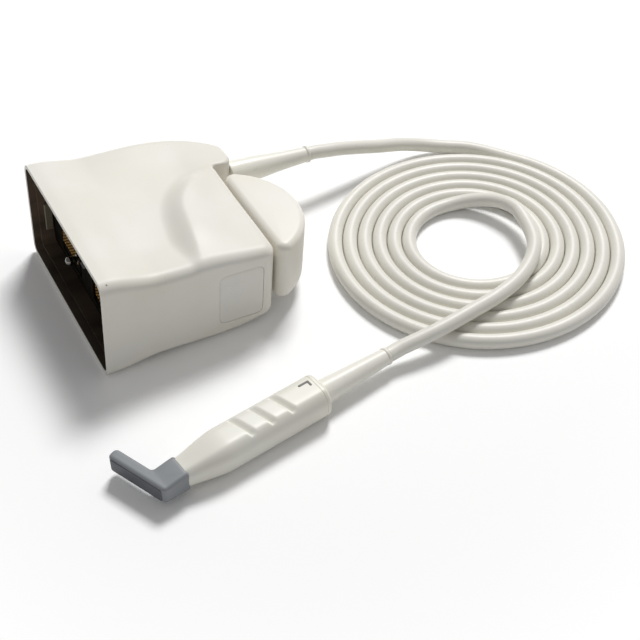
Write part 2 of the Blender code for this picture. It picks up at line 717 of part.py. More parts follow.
def contact_comb(middle):
    """Contact strip of upright ribs on a base, drawn from above and extended over its height."""
    half = FIELD_WIDTH / 2 - GAP
    back = BLOCK_FACE + FIELD_POCKET - GAP
    base = back - FIELD_BASE
    count = int((2 * half - CONTACT_WIDTH) / CONTACT_PITCH) + 1
    first = middle - (count - 1) * CONTACT_PITCH / 2
    outline = [(back, middle + half), (back, middle - half), (base, middle - half)]
    for k in range(count):
        y = first + k * CONTACT_PITCH
        outline += [
            (base, y - CONTACT_WIDTH / 2), (base - CONTACT_HEIGHT, y - CONTACT_WIDTH / 2),
            (base - CONTACT_HEIGHT, y + CONTACT_WIDTH / 2), (base, y + CONTACT_WIDTH / 2),
        ]
    outline.append((base, middle + half))
    half_height = FIELD_HEIGHT / 2 - GAP
    return plate_mesh("contact_comb", outline, -half_height, half_height)


# Lock: lever, hub, shaft, pin and collar

BUSH_RADIUS = SHAFT_RADIUS + GAP + BUSH_WALL
BUSH_BACK = HOUSING_LENGTH + GAP + BUSH_FLANGE
HUB_FRONT = BUSH_BACK + GAP
LEVER_FRONT = HOUSING_LENGTH + LEVER_STANDOFF
HUB_BACK = LEVER_FRONT + HUB_DEPTH


def lever_outline():
    """D of the lever: a chord along its front and one arc behind, with round ends."""
    half = (LEVER_FAR_REACH + LEVER_NEAR_REACH) / 2
    middle = (LEVER_FAR_REACH - LEVER_NEAR_REACH) / 2
    radius = (half**2 + LEVER_DEPTH**2) / (2 * LEVER_DEPTH)
    centre = LEVER_FRONT + LEVER_DEPTH - radius
    blend = LEVER_CORNER_RADIUS
    blend_x = LEVER_FRONT + blend
    blend_y = math.sqrt((radius - blend) ** 2 - (blend_x - centre) ** 2)
    reach = math.atan2(blend_y, blend_x - centre)
    outline = []
    for k in range(ARC_STEPS + 1):
        angle = math.pi + (math.pi - reach) * k / ARC_STEPS
        outline.append((blend_x + blend * math.cos(angle), middle - blend_y + blend * math.sin(angle)))
    sweep = 14
    for k in range(1, sweep):
        angle = -reach + 2 * reach * k / sweep
        outline.append((centre + radius * math.cos(angle), middle + radius * math.sin(angle)))
    for k in range(ARC_STEPS + 1):
        angle = reach + (math.pi - reach) * k / ARC_STEPS
        outline.append((blend_x + blend * math.cos(angle), middle + blend_y + blend * math.sin(angle)))
    return outline


def build_lock():
    """Everything that turns about the plug axis."""
    bm = bmesh.new()
    bm.from_mesh(plate_mesh("lever", lever_outline(), -LEVER_HALF_HEIGHT, LEVER_HALF_HEIGHT))
    bevel_edges(bm, lambda e: abs(e.verts[0].co.z - e.verts[1].co.z) < 1e-6, LEVER_RIM_RADIUS, 4)
    lever = add_object("lock_lever", mesh_of(bm, "lock_lever"), LEVER_PLASTIC, LOCK)
    seat = cylinder_cutter(
        "hub_seat", HUB_RADIUS + GAP, LEVER_FRONT - 1 * MM, HUB_BACK + GAP, (0, 0, 0), LOCK)
    combine(lever, seat, "DIFFERENCE")
    shade(lever)

    shaft_end = HUB_BACK - 1 * MM
    turned("lever_hub", [
        (HUB_FRONT, SHAFT_RADIUS + GAP), (HUB_FRONT, HUB_RADIUS), (HUB_BACK, HUB_RADIUS),
        (HUB_BACK, 0.0), (shaft_end + GAP, 0.0), (shaft_end + GAP, SHAFT_RADIUS + GAP),
    ], STEEL, LOCK, (0, 0, 0), closed=True)

    shaft = turned("actuator_shaft", [
        (SHAFT_TIP + SHAFT_SOCKET_DEPTH, 0.0),
        (SHAFT_TIP + SHAFT_SOCKET_DEPTH, SHAFT_SOCKET_RADIUS),
        (SHAFT_TIP, SHAFT_SOCKET_RADIUS),
        (SHAFT_TIP, SHAFT_RADIUS - SHAFT_CHAMFER),
        (SHAFT_TIP + SHAFT_CHAMFER, SHAFT_RADIUS),
        (shaft_end, SHAFT_RADIUS),
        (shaft_end, 0.0),
    ], STEEL, LOCK, (0, 0, 0))
    pin_way = Matrix.Translation((PIN_DEPTH, 0, 0)) @ Matrix.Rotation(math.pi / 2, 4, "X")
    for name, radius, length in (
        ("pin_hole", PIN_RADIUS + GAP, 4 * SHAFT_RADIUS), ("cross_pin", PIN_RADIUS, PIN_LENGTH),
    ):
        bm = bmesh.new()
        bmesh.ops.create_cone(
            bm, cap_ends=True, segments=16, radius1=radius, radius2=radius, depth=length)
        bmesh.ops.transform(bm, matrix=pin_way, verts=bm.verts)
        if name == "cross_pin":
            shade(add_object(name, mesh_of(bm, name), STEEL, LOCK))
        else:
            combine(shaft, add_cutter(name, mesh_of(bm, name), LOCK), "DIFFERENCE")

    collar_back = BLOCK_FACE - GAP
    collar_front = collar_back - COLLAR_THICKNESS
    turned("shaft_collar", [
        (collar_front, SHAFT_RADIUS + GAP), (collar_front, COLLAR_RADIUS),
        (collar_back, COLLAR_RADIUS), (collar_back, SHAFT_RADIUS + GAP),
    ], STEEL, LOCK, (0, 0, 0), closed=True)


def build_bush():
    """Flanged bush that carries the shaft in the rear wall."""
    bore = SHAFT_RADIUS + GAP
    inside = HOUSING_LENGTH - HOUSING_WALL - 1 * MM
    flange = HOUSING_LENGTH + GAP
    turned("shaft_bush", [
        (inside, bore), (inside, BUSH_RADIUS), (flange, BUSH_RADIUS), (flange, BUSH_FLANGE_RADIUS),
        (BUSH_BACK, BUSH_FLANGE_RADIUS), (BUSH_BACK, bore),
    ], BRASS, CONNECTOR, (0, 0, SHAFT_RISE), closed=True)


# Cable outlet of the connector

def taper(root, tip, length, start, count=5):
    """Stations of a sleeve that narrows in an easy curve, ending in a small ring."""
    ring = 1.6 * MM
    stations = []
    for k in range(count + 1):
        share = k / count
        radius = root + (tip - 0.35 * MM - root) * (1 - (1 - share) ** 1.6)
        stations.append((start + (length - ring) * share, radius))
    end = start + length
    return stations + [(end - ring, tip), (end - 0.5 * MM, tip), (end, tip - 0.5 * MM)]


def build_outlet():
    """Strain relief with its long neck, the clamp on the neck and the core in front of it."""
    place = (0.0, *RELIEF_OUTLET)
    stub = HOUSING_END - RELIEF_STUB
    start = HOUSING_END + GAP
    turned("connector_strain_relief", [
        (stub, 0.0), (stub, RELIEF_NECK_RADIUS), (start, RELIEF_NECK_RADIUS),
        *taper(RELIEF_ROOT_RADIUS, RELIEF_TIP_RADIUS, RELIEF_LENGTH, start),
        (start + RELIEF_LENGTH, 0.0),
    ], CABLE_JACKET, CONNECTOR, place)

    bore = RELIEF_NECK_RADIUS + GAP
    clamp_end = stub + 1 * MM + CLAMP_LENGTH
    turned("cable_clamp", [
        (clamp_end - CLAMP_LENGTH, bore), (clamp_end - CLAMP_LENGTH, bore + CLAMP_WALL),
        (clamp_end, bore + CLAMP_WALL), (clamp_end, bore),
    ], STEEL, CONNECTOR, place, closed=True)

    board_back = BLOCK_BACK + GAP + BOARD_THICKNESS
    turned("coax_loom", [
        (board_back + GAP, 0.0), (board_back + GAP, LOOM_RADIUS),
        (stub - GAP, LOOM_RADIUS), (stub - GAP, 0.0),
    ], CABLE_JACKET, CONNECTOR, place, steps=12)


# Cable

def frame_point(empty, point):
    """A point of a sub-assembly's frame, seen from the mouth's lower lip."""
    bpy.context.view_layer.update()
    return TABLE.matrix_world.inverted() @ empty.matrix_world @ Vector(point)


def build_cable():
    """The two free stretches and the flat coil between them."""
    for name, empty, tip, outward, route in (
        ("cable_lead", CONNECTOR, (HOUSING_END + 2 * GAP + RELIEF_LENGTH, *RELIEF_OUTLET), 1, LEAD_ROUTE),
        ("cable_tail", HANDSET, (-END_CAP_THICKNESS - 3 * GAP - BOOT_LENGTH, 0.0, 0.0), -1, TAIL_ROUTE),
    ):
        start = frame_point(empty, tip)
        straight = frame_point(empty, (tip[0] + outward * CABLE_RADIUS, *tip[1:]))
        points = smooth_route([straight, *route], CABLE_POINT_SPACING)
        cable_tube(name, [start, *points], TABLE)

    edge = rounded([
        (0.0, COIL_INNER_RADIUS, CABLE_RADIUS * 0.8), (0.0, COIL_OUTER_RADIUS, CABLE_RADIUS * 0.8),
        (2 * CABLE_RADIUS, COIL_OUTER_RADIUS, CABLE_RADIUS * 0.8),
        (2 * CABLE_RADIUS, COIL_INNER_RADIUS, CABLE_RADIUS * 0.8),
    ], 3)
    coil = turned(
        "cable_coil", [tuple(p) for p in edge], CABLE_JACKET, TABLE, (*COIL_CENTRE, 0.0),
        closed=True, steps=COIL_STEPS)
    coil.rotation_euler = (0.0, 0.0, 0.0)


# Handset

handle_width = eased([
    (TAPER_START, HANDLE_HALF_WIDTH), (HANDLE_LENGTH, NECK_HALF_WIDTH),
])
handle_thickness = eased([
    (TAPER_START, HANDLE_HALF_THICKNESS), (HANDLE_LENGTH, NECK_HALF_THICKNESS),
])


def handle_bar(name, low, high, stations):
    """Closed bar with the handle's section: rounded edges and flats above and below."""
    full = HANDLE_HALF_THICKNESS + HANDLE_FLAT_DEPTH
    bm = box_bmesh((low, -HANDLE_HALF_WIDTH, -full), (high, HANDLE_HALF_WIDTH, full))
    bevel_edges(
        bm, lambda e: abs(e.verts[0].co.x - e.verts[1].co.x) > 1e-6, HANDLE_CORNER_RADIUS, 6)
    for side in (-1.0, 1.0):
        cut = bmesh.ops.bisect_plane(
            bm, geom=[*bm.verts, *bm.edges, *bm.faces], dist=1e-7, clear_outer=True,
            plane_co=(0, 0, side * HANDLE_HALF_THICKNESS), plane_no=(0, 0, side))
        rim = [g for g in cut["geom_cut"] if isinstance(g, bmesh.types.BMEdge)]
        bmesh.ops.edgenet_fill(bm, edges=rim)
    cut_stations(bm, 0, stations)
    for vert in bm.verts:
        vert.co.y *= handle_width(vert.co.x) / HANDLE_HALF_WIDTH
        vert.co.z *= handle_thickness(vert.co.x) / HANDLE_HALF_THICKNESS
    bmesh.ops.recalc_face_normals(bm, faces=bm.faces)
    return bm


def build_handle():
    """Handle shell, open at both ends, with its grip grooves; end cap behind it."""
    taper_stations = [TAPER_START + (HANDLE_LENGTH - TAPER_START) * k / 7 for k in range(7)]
    bm = handle_bar("handle", 0.0, HANDLE_LENGTH, taper_stations)
    ends = [
        f for f in bm.faces
        if max(v.co.x for v in f.verts) < 1e-6 or min(v.co.x for v in f.verts) > HANDLE_LENGTH - 1e-6
    ]
    bmesh.ops.delete(bm, geom=ends, context="FACES")
    handle = add_object("handle_shell", mesh_of(bm, "handle_shell"), HANDLE_PLASTIC, HANDSET)
    wall = handle.modifiers.new("wall", "SOLIDIFY")
    wall.thickness = HANDLE_WALL
    wall.offset = -1.0
    wall.use_even_offset = True
    for k in range(GROOVE_COUNT):
        middle = GROOVE_FIRST + k * GROOVE_PITCH
        top = HANDLE_HALF_THICKNESS
        groove = add_cutter("grip_groove_%d" % (k + 1), box_mesh(
            "groove", (middle - GROOVE_WIDTH / 2, -GROOVE_LENGTH / 2, top - GROOVE_DEPTH),
            (middle + GROOVE_WIDTH / 2, GROOVE_LENGTH / 2, top + GROOVE_DEPTH),
            GROOVE_DEPTH * 0.9, 3), HANDSET)
        combine(handle, groove, "DIFFERENCE")
    shade(handle)

    cap_front = -GAP
    cap_back = cap_front - END_CAP_THICKNESS
    bm = handle_bar("cap", cap_back, cap_front, [])
    bevel_edges(
        bm, lambda e: max(v.co.x for v in e.verts) < cap_back + 1e-6, END_CAP_ROUND, 3)
    cap = add_object("handle_end_cap", mesh_of(bm, "handle_end_cap"), HANDLE_PLASTIC, HANDSET)
    bore = cylinder_cutter(
        "cap_bore", BOOT_NECK_RADIUS + GAP, cap_back - 1 * MM, cap_front + 1 * MM, (0, 0, 0), HANDSET)
    combine(cap, bore, "DIFFERENCE")
    shade(cap)


def build_boot():
    """Handset's strain relief, which runs back from the end cap, and the ferrule on its stub."""
    root = END_CAP_THICKNESS + 2 * GAP
    outside = [(-along, radius) for along, radius in taper(
        BOOT_ROOT_RADIUS, BOOT_TIP_RADIUS, BOOT_LENGTH, root)]
    outside.reverse()
    turned("handset_strain_relief", [
        (-root - BOOT_LENGTH, 0.0), *outside, (-root, BOOT_NECK_RADIUS),
        (BOOT_STUB, BOOT_NECK_RADIUS), (BOOT_STUB, 0.0),
    ], CABLE_JACKET, HANDSET, (0, 0, 0))

    bore = BOOT_NECK_RADIUS + GAP
    first = BOOT_STUB - FERRULE_LENGTH - 1 * MM
    turned("cable_ferrule", [
        (first, bore), (first, bore + FERRULE_WALL),
        (first + FERRULE_LENGTH, bore + FERRULE_WALL), (first + FERRULE_LENGTH, bore),
    ], BRASS, HANDSET, (0, 0, 0), closed=True)


# Head: neck, foot, lens and what is inside

HEAD_START = HANDLE_LENGTH + GAP
FOOT_ALONG = Vector((math.sin(FOOT_LEAN), -math.cos(FOOT_LEAN)))      # heel to toe
FOOT_AHEAD = Vector((math.cos(FOOT_LEAN), math.sin(FOOT_LEAN)))       # out of the lens
NECK_END_HALF_WIDTH = NECK_HALF_WIDTH - 0.7 * MM


def head_outline():
    """Plan of the head: a neck as wide as the handle's end and a foot that leans forward."""
    inner = Vector((HANDLE_LENGTH + HEAD_NECK_LENGTH, -NECK_END_HALF_WIDTH))
    front = inner + FOOT_AHEAD * FOOT_THICKNESS
    heel = front + FOOT_ALONG * (front.y - FOOT_HEEL) / math.cos(FOOT_LEAN)
    toe = heel + FOOT_ALONG * FOOT_LENGTH
    back = toe - FOOT_AHEAD * FOOT_THICKNESS
    round_toe = FOOT_CORNER_RADIUS
    corners = [
        (HEAD_START, -NECK_HALF_WIDTH, 0.0), (inner.x, inner.y, FOOT_CORNER_RADIUS),
        (back.x, back.y, round_toe), (toe.x, toe.y, round_toe), (heel.x, heel.y, round_toe),
        (HEAD_START, NECK_HALF_WIDTH, 0.0),
    ]
    return rounded(list(reversed(corners)), 4), heel, toe


def build_head():
    """Grey head shell with its lens, the array behind the lens and the flexible circuit."""
    outline, heel, toe = head_outline()
    half_height = eased([
        (HEAD_START, NECK_HALF_THICKNESS), (HANDLE_LENGTH + HEAD_NECK_LENGTH, FOOT_HALF_HEIGHT),
    ])
    bm = bmesh.new()
    bm.from_mesh(plate_mesh("head", outline, -NECK_HALF_THICKNESS, NECK_HALF_THICKNESS))

    def on_edge(edge):
        a, b = (v.co for v in edge.verts)
        return abs(a.z - b.z) < 1e-6 and max(a.x, b.x) > HEAD_START + 1e-5

    bevel_edges(bm, on_edge, FOOT_EDGE_RADIUS, 3)
    cut_stations(bm, 0, [HEAD_START + HEAD_NECK_LENGTH * k / 5 for k in range(1, 6)])
    for vert in bm.verts:
        vert.co.z *= half_height(vert.co.x) / NECK_HALF_THICKNESS
    head = add_object("head_shell", mesh_of(bm, "head_shell"), HEAD_PLASTIC, HANDSET)

    spigot_width = NECK_HALF_WIDTH - HANDLE_WALL - GAP
    spigot_height = NECK_HALF_THICKNESS - HANDLE_WALL - GAP
    spigot = add_cutter("head_spigot", box_mesh(
        "head_spigot", (HANDLE_LENGTH - HEAD_SPIGOT, -spigot_width, -spigot_height),
        (HEAD_START + 1 * MM, spigot_width, spigot_height), 1.2 * MM, 2), HANDSET)
    combine(head, spigot, "UNION")

    pocket_depth = LENS_THICKNESS - LENS_PROUD + GAP + STACK_THICKNESS + GAP
    face = Matrix.Translation((*((heel + toe) / 2), 0.0)) @ Matrix.Rotation(FOOT_LEAN, 4, "Z")
    pocket = add_cutter("lens_pocket", box_mesh(
        "lens_pocket", (-pocket_depth, -LENS_LENGTH / 2 - GAP, -LENS_HEIGHT / 2 - GAP),
        (1 * MM, LENS_LENGTH / 2 + GAP, LENS_HEIGHT / 2 + GAP)), HANDSET)
    pocket.data.transform(face)
    combine(head, pocket, "DIFFERENCE")
    neck_end = HANDLE_LENGTH + HEAD_NECK_LENGTH + 1.5 * MM
    bore = cylinder_cutter(
        "neck_bore", NECK_BORE_RADIUS, HANDLE_LENGTH - HEAD_SPIGOT - 1 * MM, neck_end, (0, 0, 0), HANDSET, 16)
    combine(head, bore, "DIFFERENCE")
    shade(head)

    lens = box_mesh(
        "acoustic_lens", (LENS_PROUD - LENS_THICKNESS, -LENS_LENGTH / 2, -LENS_HEIGHT / 2),
        (LENS_PROUD, LENS_LENGTH / 2, LENS_HEIGHT / 2), 0.35 * MM, 2)
    lens.transform(face)
    shade(add_object("acoustic_lens", lens, LENS_RUBBER, HANDSET))

    stack_front = LENS_PROUD - LENS_THICKNESS - GAP
    stack = box_mesh(
        "transducer_stack",
        (stack_front - STACK_THICKNESS, STACK_MARGIN - LENS_LENGTH / 2, STACK_MARGIN - LENS_HEIGHT / 2),
        (stack_front, LENS_LENGTH / 2 - STACK_MARGIN, LENS_HEIGHT / 2 - STACK_MARGIN))
    stack.transform(face)
    add_object("transducer_stack", stack, CERAMIC, HANDSET)

    board_half = HANDLE_HALF_WIDTH - HANDLE_WALL - GAP
    add_object("handle_board", box_mesh(
        "handle_board", (HANDSET_BOARD_START, -board_half, -HANDSET_BOARD_THICKNESS / 2),
        (HANDSET_BOARD_END, board_half, HANDSET_BOARD_THICKNESS / 2)), BOARD, HANDSET)
    stack_back = (face @ Vector((stack_front - STACK_THICKNESS, 0.0, 0.0)))
    lean = (FLEX_WIDTH / 2 + abs(stack_back.y)) * math.tan(FOOT_LEAN)
    add_object("flex_circuit", box_mesh(
        "flex_circuit", (HANDSET_BOARD_END + GAP, -FLEX_WIDTH / 2, -FLEX_THICKNESS / 2),
        (HANDLE_LENGTH + HEAD_NECK_LENGTH - lean / 2, FLEX_WIDTH / 2, FLEX_THICKNESS / 2)), FILM, HANDSET)


build_housing()
build_label()
build_plug()
build_bush()
build_outlet()
build_lock()
build_cable()
build_handle()
build_boot()
build_head()
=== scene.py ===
"""Dressed scene of the hockey-stick ultrasound probe: plug-in connector, coiled cable, handset.

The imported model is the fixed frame. Each sub-assembly is worked out in millimetres in its own
directions and put into the row frame in metres:
  connector  x from the mouth's rim into the body, y across to the far side, z = 0 at mid-height
  lock       the same directions, with its origin on the shaft's axis
  handset    x from the handle's rear end to the nose, z = 0 at mid-thickness
"""
import logging
import math
from dataclasses import dataclass
from enum import Enum
from typing import Any, Callable, Sequence

import bmesh
import bpy
import numpy as np
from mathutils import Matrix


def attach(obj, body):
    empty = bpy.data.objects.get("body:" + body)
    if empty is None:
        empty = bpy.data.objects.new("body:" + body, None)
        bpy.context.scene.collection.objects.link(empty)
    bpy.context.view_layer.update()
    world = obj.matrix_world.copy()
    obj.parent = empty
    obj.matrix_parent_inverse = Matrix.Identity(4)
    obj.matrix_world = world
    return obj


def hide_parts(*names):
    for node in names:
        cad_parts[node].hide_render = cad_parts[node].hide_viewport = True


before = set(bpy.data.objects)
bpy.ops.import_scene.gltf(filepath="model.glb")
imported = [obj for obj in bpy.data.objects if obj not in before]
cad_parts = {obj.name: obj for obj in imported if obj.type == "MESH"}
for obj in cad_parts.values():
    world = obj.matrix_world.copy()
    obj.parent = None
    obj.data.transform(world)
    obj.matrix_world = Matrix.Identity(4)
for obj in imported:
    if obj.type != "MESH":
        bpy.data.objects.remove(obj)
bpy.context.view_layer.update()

Array = np.ndarray
Pair = tuple[float, float]
Triple = tuple[float, float, float]
MM = 0.001
QUARTER_TURN, HALF_TURN, FULL_TURN = math.pi / 2, math.pi, 2 * math.pi
LOG = logging.getLogger("ultrasound_probe")


class Body(Enum):
    """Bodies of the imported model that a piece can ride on."""

    PROBE = "probe"
    LOCK = "lock"


class Side(Enum):
    """The two halves of the plug, as the sign of their y."""

    NEAR = -1.0
    FAR = 1.0


@dataclass(frozen=True)
class Placing:
    """Where a sub-assembly lies: tipped about Y, turned about Z, then moved to its origin."""

    origin: Triple
    pitch: float = 0.0
    yaw: float = 0.0

    def put(self, own: Array) -> Array:
        """Carry own points into the row frame.

        Args:
            own: Points in millimetres, last axis x, y, z.

        Returns:
            The same points in the row frame, in metres.
        """
        cp, sp = math.cos(self.pitch), math.sin(self.pitch)
        cy, sy = math.cos(self.yaw), math.sin(self.yaw)
        tip = np.array([[cp, 0.0, sp], [0.0, 1.0, 0.0], [-sp, 0.0, cp]])
        turn = np.array([[cy, -sy, 0.0], [sy, cy, 0.0], [0.0, 0.0, 1.0]])
        return (np.asarray(own) @ (turn @ tip).T + np.array(self.origin)) * MM


PLUG_PITCH = 0.0688255
PLUG_X, PLUG_Y, PLUG_Z = -54.606, 35.590, 24.349
SHAFT_RISE = 2.8
CABLE_OUTLET = (24.4, 6.0)
CONNECTOR = Placing((PLUG_X, PLUG_Y, PLUG_Z), pitch=PLUG_PITCH)
LOCK = Placing((
    PLUG_X + SHAFT_RISE * math.sin(PLUG_PITCH), PLUG_Y,
    PLUG_Z + SHAFT_RISE * math.cos(PLUG_PITCH)), pitch=PLUG_PITCH)
HANDSET = Placing((9.63, -64.11, 7.5), yaw=math.radians(188.9))


# Curves and surfaces


def ease(place: Array, start: float | Array = 0.0, length: float | Array = 1.0) -> Array:
    """Rise from 0 to 1 with level ends: three times the square of the share less twice its cube."""
    share = np.clip((place - start) / length, 0.0, 1.0)
    return share * share * (3.0 - 2.0 * share)


def circle(steps: int) -> Array:
    """Even angles once round."""
    return FULL_TURN * np.arange(steps) / steps


def run_length(points: Array) -> Array:
    """Distance along a line of points, at each of them."""
    return np.concatenate([[0.0], np.cumsum(np.linalg.norm(np.diff(points, axis=0), axis=1))])


def at_first(values: Array, where: Array) -> float:
    """Value at the first place where a condition holds."""
    return float(values[np.argmax(where)])


@dataclass(frozen=True)
class Eased:
    """Curve through (place, value) stations that never overshoots them."""

    places: tuple[float, ...]
    values: tuple[float, ...]

    def __call__(self, place: Array) -> Array:
        """Value at each place: a cubic between stations, with harmonic-mean slopes at them.

        Args:
            place: Places along the curve; those beyond its ends take the end values.

        Returns:
            The values, in the same shape.
        """
        p, v = np.array(self.places), np.array(self.values)
        rise = np.diff(v) / np.diff(p)
        slope = np.concatenate([[0.0], np.zeros(len(rise) - 1), [rise[-1]]])
        same = rise[:-1] * rise[1:] > 0
        total = np.where(same, rise[:-1] + rise[1:], 1.0)
        slope[1:-1] = np.where(same, 2.0 * rise[:-1] * rise[1:] / total, 0.0)
        x = np.clip(place, p[0], p[-1])
        i = np.clip(np.searchsorted(p, x, side="right") - 1, 0, len(p) - 2)
        span = p[i + 1] - p[i]
        t = (x - p[i]) / span
        return (
            (2 * t**3 - 3 * t**2 + 1) * v[i] + (t**3 - 2 * t**2 + t) * span * slope[i]
            + (3 * t**2 - 2 * t**3) * v[i + 1] + (t**3 - t**2) * span * slope[i + 1]
        )


@dataclass(frozen=True)
class Arc:
    """Arc of an outline. Counter-clockwise it bulges out of the shape, clockwise it hollows it."""

    x: float
    y: float
    radius: float
    first: float
    last: float
    steps: int = 12

    def at(self, inset: float) -> Array:
        """Points of the arc once the outline has moved inwards by the inset."""
        angle = np.linspace(self.first, self.last, self.steps + 1)
        radius = self.radius - math.copysign(inset, self.last - self.first)
        return np.column_stack([self.x + radius * np.cos(angle), self.y + radius * np.sin(angle)])


def corner_arcs(corners: Sequence[Triple], steps: int) -> tuple[Arc, ...]:
    """Turn each (x, y, radius) corner of a closed polygon into the arc that rounds it.

    The arc's centre lies on the corner's bisector, radius / sin(half angle) from the corner.

    Args:
        corners: Corners in counter-clockwise order.
        steps: Steps of each arc.

    Returns:
        The arcs in order; straight runs between them are implied.
    """
    arcs = []
    for i, (x, y, radius) in enumerate(corners):
        here = np.array([x, y])
        back = np.array(corners[i - 1][:2]) - here
        ahead = np.array(corners[(i + 1) % len(corners)][:2]) - here
        back, ahead = back / np.linalg.norm(back), ahead / np.linalg.norm(ahead)
        half = math.acos(float(np.clip(back @ ahead, -1, 1))) / 2
        middle = (back + ahead) / np.linalg.norm(back + ahead)
        centre = here + middle * radius / math.sin(half)
        start = here + back * radius / math.tan(half) - centre
        end = here + ahead * radius / math.tan(half) - centre
        first = math.atan2(start[1], start[0])
        sweep = (math.atan2(end[1], end[0]) - first + HALF_TURN) % FULL_TURN - HALF_TURN
        arcs.append(Arc(float(centre[0]), float(centre[1]), radius, first, first + sweep, steps))
    return tuple(arcs)


@dataclass(frozen=True)
class Outline:
    """Plan outline of arcs and the straight runs between them.

    An open outline also has two free ends, each a point and its inward direction.
    """

    arcs: tuple[Arc, ...]
    spacing: float = 1.0
    ends: tuple[tuple[Pair, Pair], ...] = ()

    def _runs(self, inset: float) -> list[Array]:
        """Arcs, and free ends if there are any, at an inset.

        Args:
            inset: How far inwards, in millimetres.

        Returns:
            Arrays of points, in order.
        """
        runs = [arc.at(inset) for arc in self.arcs]
        if self.ends:
            free = [np.array([np.array(p) + inset * np.array(n)]) for p, n in self.ends]
            runs = [free[0], *runs, free[1]]
        return runs

    def at(self, inset: float) -> Array:
        """Points of the outline moved inwards, the same number at every inset.

        Args:
            inset: How far inwards, in millimetres.

        Returns:
            Array of points, x and y.
        """
        plain, moved = self._runs(0.0), self._runs(inset)
        follow = list(range(1, len(plain))) + ([] if self.ends else [0])
        parts = []
        for here, ahead in zip(range(len(plain)), follow):
            gap = np.linalg.norm(plain[ahead][0] - plain[here][-1])
            count = max(1, math.ceil(gap / self.spacing))
            share = (np.arange(1, count) / count)[:, None]
            parts += [moved[here], moved[here][-1] + share * (moved[ahead][0] - moved[here][-1])]
        if self.ends:
            parts.append(moved[-1])
        return np.concatenate(parts)


@dataclass(frozen=True)
class EasedRim:
    """Outline whose inset beyond a plain part is scaled point by point, so its rim varies."""

    base: Outline
    scale: Array
    plain: float = 0.0

    def at(self, inset: float) -> Array:
        """Points moved inwards: all of the plain part, and the scaled share of the rest."""
        start = self.base.at(min(inset, self.plain))
        return start + self.scale[:, None] * (self.base.at(inset) - start)


def rounded_box(half_x: float, half_y: float, radius: float, steps: int, spacing: float) -> Outline:
    """Outline of a rectangle round the origin with equal round corners."""
    signs = ((1, -1), (1, 1), (-1, 1), (-1, -1))
    corners = [(a * half_x, b * half_y, radius) for a, b in signs]
    return Outline(corner_arcs(corners, steps), spacing)


def round_rim(radius: float, half_height: float, arc_steps: int, side_steps: int) -> Array:
    """Edge profile of a slab as (inset, height) pairs.

    A quarter round from the upper face's edge, straight down the side, and a quarter round
    to the lower face's edge.

    Args:
        radius: Radius of both quarter rounds.
        half_height: Half the slab's thickness.
        arc_steps: Steps of each quarter round.
        side_steps: Steps of the straight side.

    Returns:
        Array of pairs from the upper to the lower face.
    """
    phi = np.linspace(0.0, QUARTER_TURN, arc_steps + 1)
    upper = np.column_stack([radius * (1 - np.sin(phi)), half_height - radius * (1 - np.cos(phi))])
    straight = half_height - radius
    height = np.linspace(straight, -straight, side_steps + 1)[1:-1]
    side = np.column_stack([np.zeros(side_steps - 1), height])
    return np.concatenate([upper, side, upper[::-1] * [1.0, -1.0]])


def pillow(
    outline: Outline | EasedRim, profile: Array, heart: Array | Sequence[float],
    cap_steps: int, crown: float = 0.0,
) -> Array:
    """Slab as a grid: one ring of the outline for each profile pair, closed by shrinking rings.

    Above and below, the last ring shrinks in even steps onto the heart; the crown lifts the
    face by (1 - share squared), where share is 1 at the ring and 0 at the heart.

    Args:
        outline: The slab's plan.
        profile: (inset, height) pairs from the upper to the lower face.
        heart: Point, or one point for each outline point, that the faces shrink onto.
        cap_steps: Rings between the edge and the heart.
        crown: Rise of the faces' middle.

    Returns:
        Grid of points, rows by outline points by xyz.
    """
    count = len(outline.at(0.0))
    rings = np.stack([
        np.column_stack([outline.at(inset), np.full(count, height)]) for inset, height in profile
    ])
    share = np.linspace(0.0, 1.0, cap_steps + 1)[:-1]

    def face(ring: Array, sense: float) -> Array:
        """Rows from the heart out to a ring."""
        middle = np.column_stack([np.broadcast_to(heart, ring[:, :2].shape), ring[:, 2]])
        rows = middle + share[:, None, None] * (ring - middle)
        rows[..., 2] += sense * crown * (1 - share**2)[:, None]
        return rows

    return np.concatenate([face(rings[0], 1.0), rings, face(rings[-1], -1.0)[::-1]])


def lathe(profile: Array | Sequence[Pair], steps: int, centre: Pair = (0.0, 0.0)) -> Array:
    """Solid turned about an axis along X: each profile pair (x, radius) becomes a circle.

    Args:
        profile: Pairs from one pole to the other, both with radius 0.
        steps: Points of each circle.
        centre: The axis's y and z.

    Returns:
        Grid of points, profile pairs by steps by xyz.
    """
    pairs, angle = np.array(profile), circle(steps)
    y, z = centre[0] + pairs[:, 1:] * np.cos(angle), centre[1] + pairs[:, 1:] * np.sin(angle)
    return np.stack([np.repeat(pairs[:, :1], steps, axis=1), y, z], axis=-1)


def rod(first: float, last: float, radius: float, steps: int, centre: Pair = (0.0, 0.0)) -> Array:
    """Closed rod along X."""
    return lathe([(first, 0.0), (first, radius), (last, radius), (last, 0.0)], steps, centre)


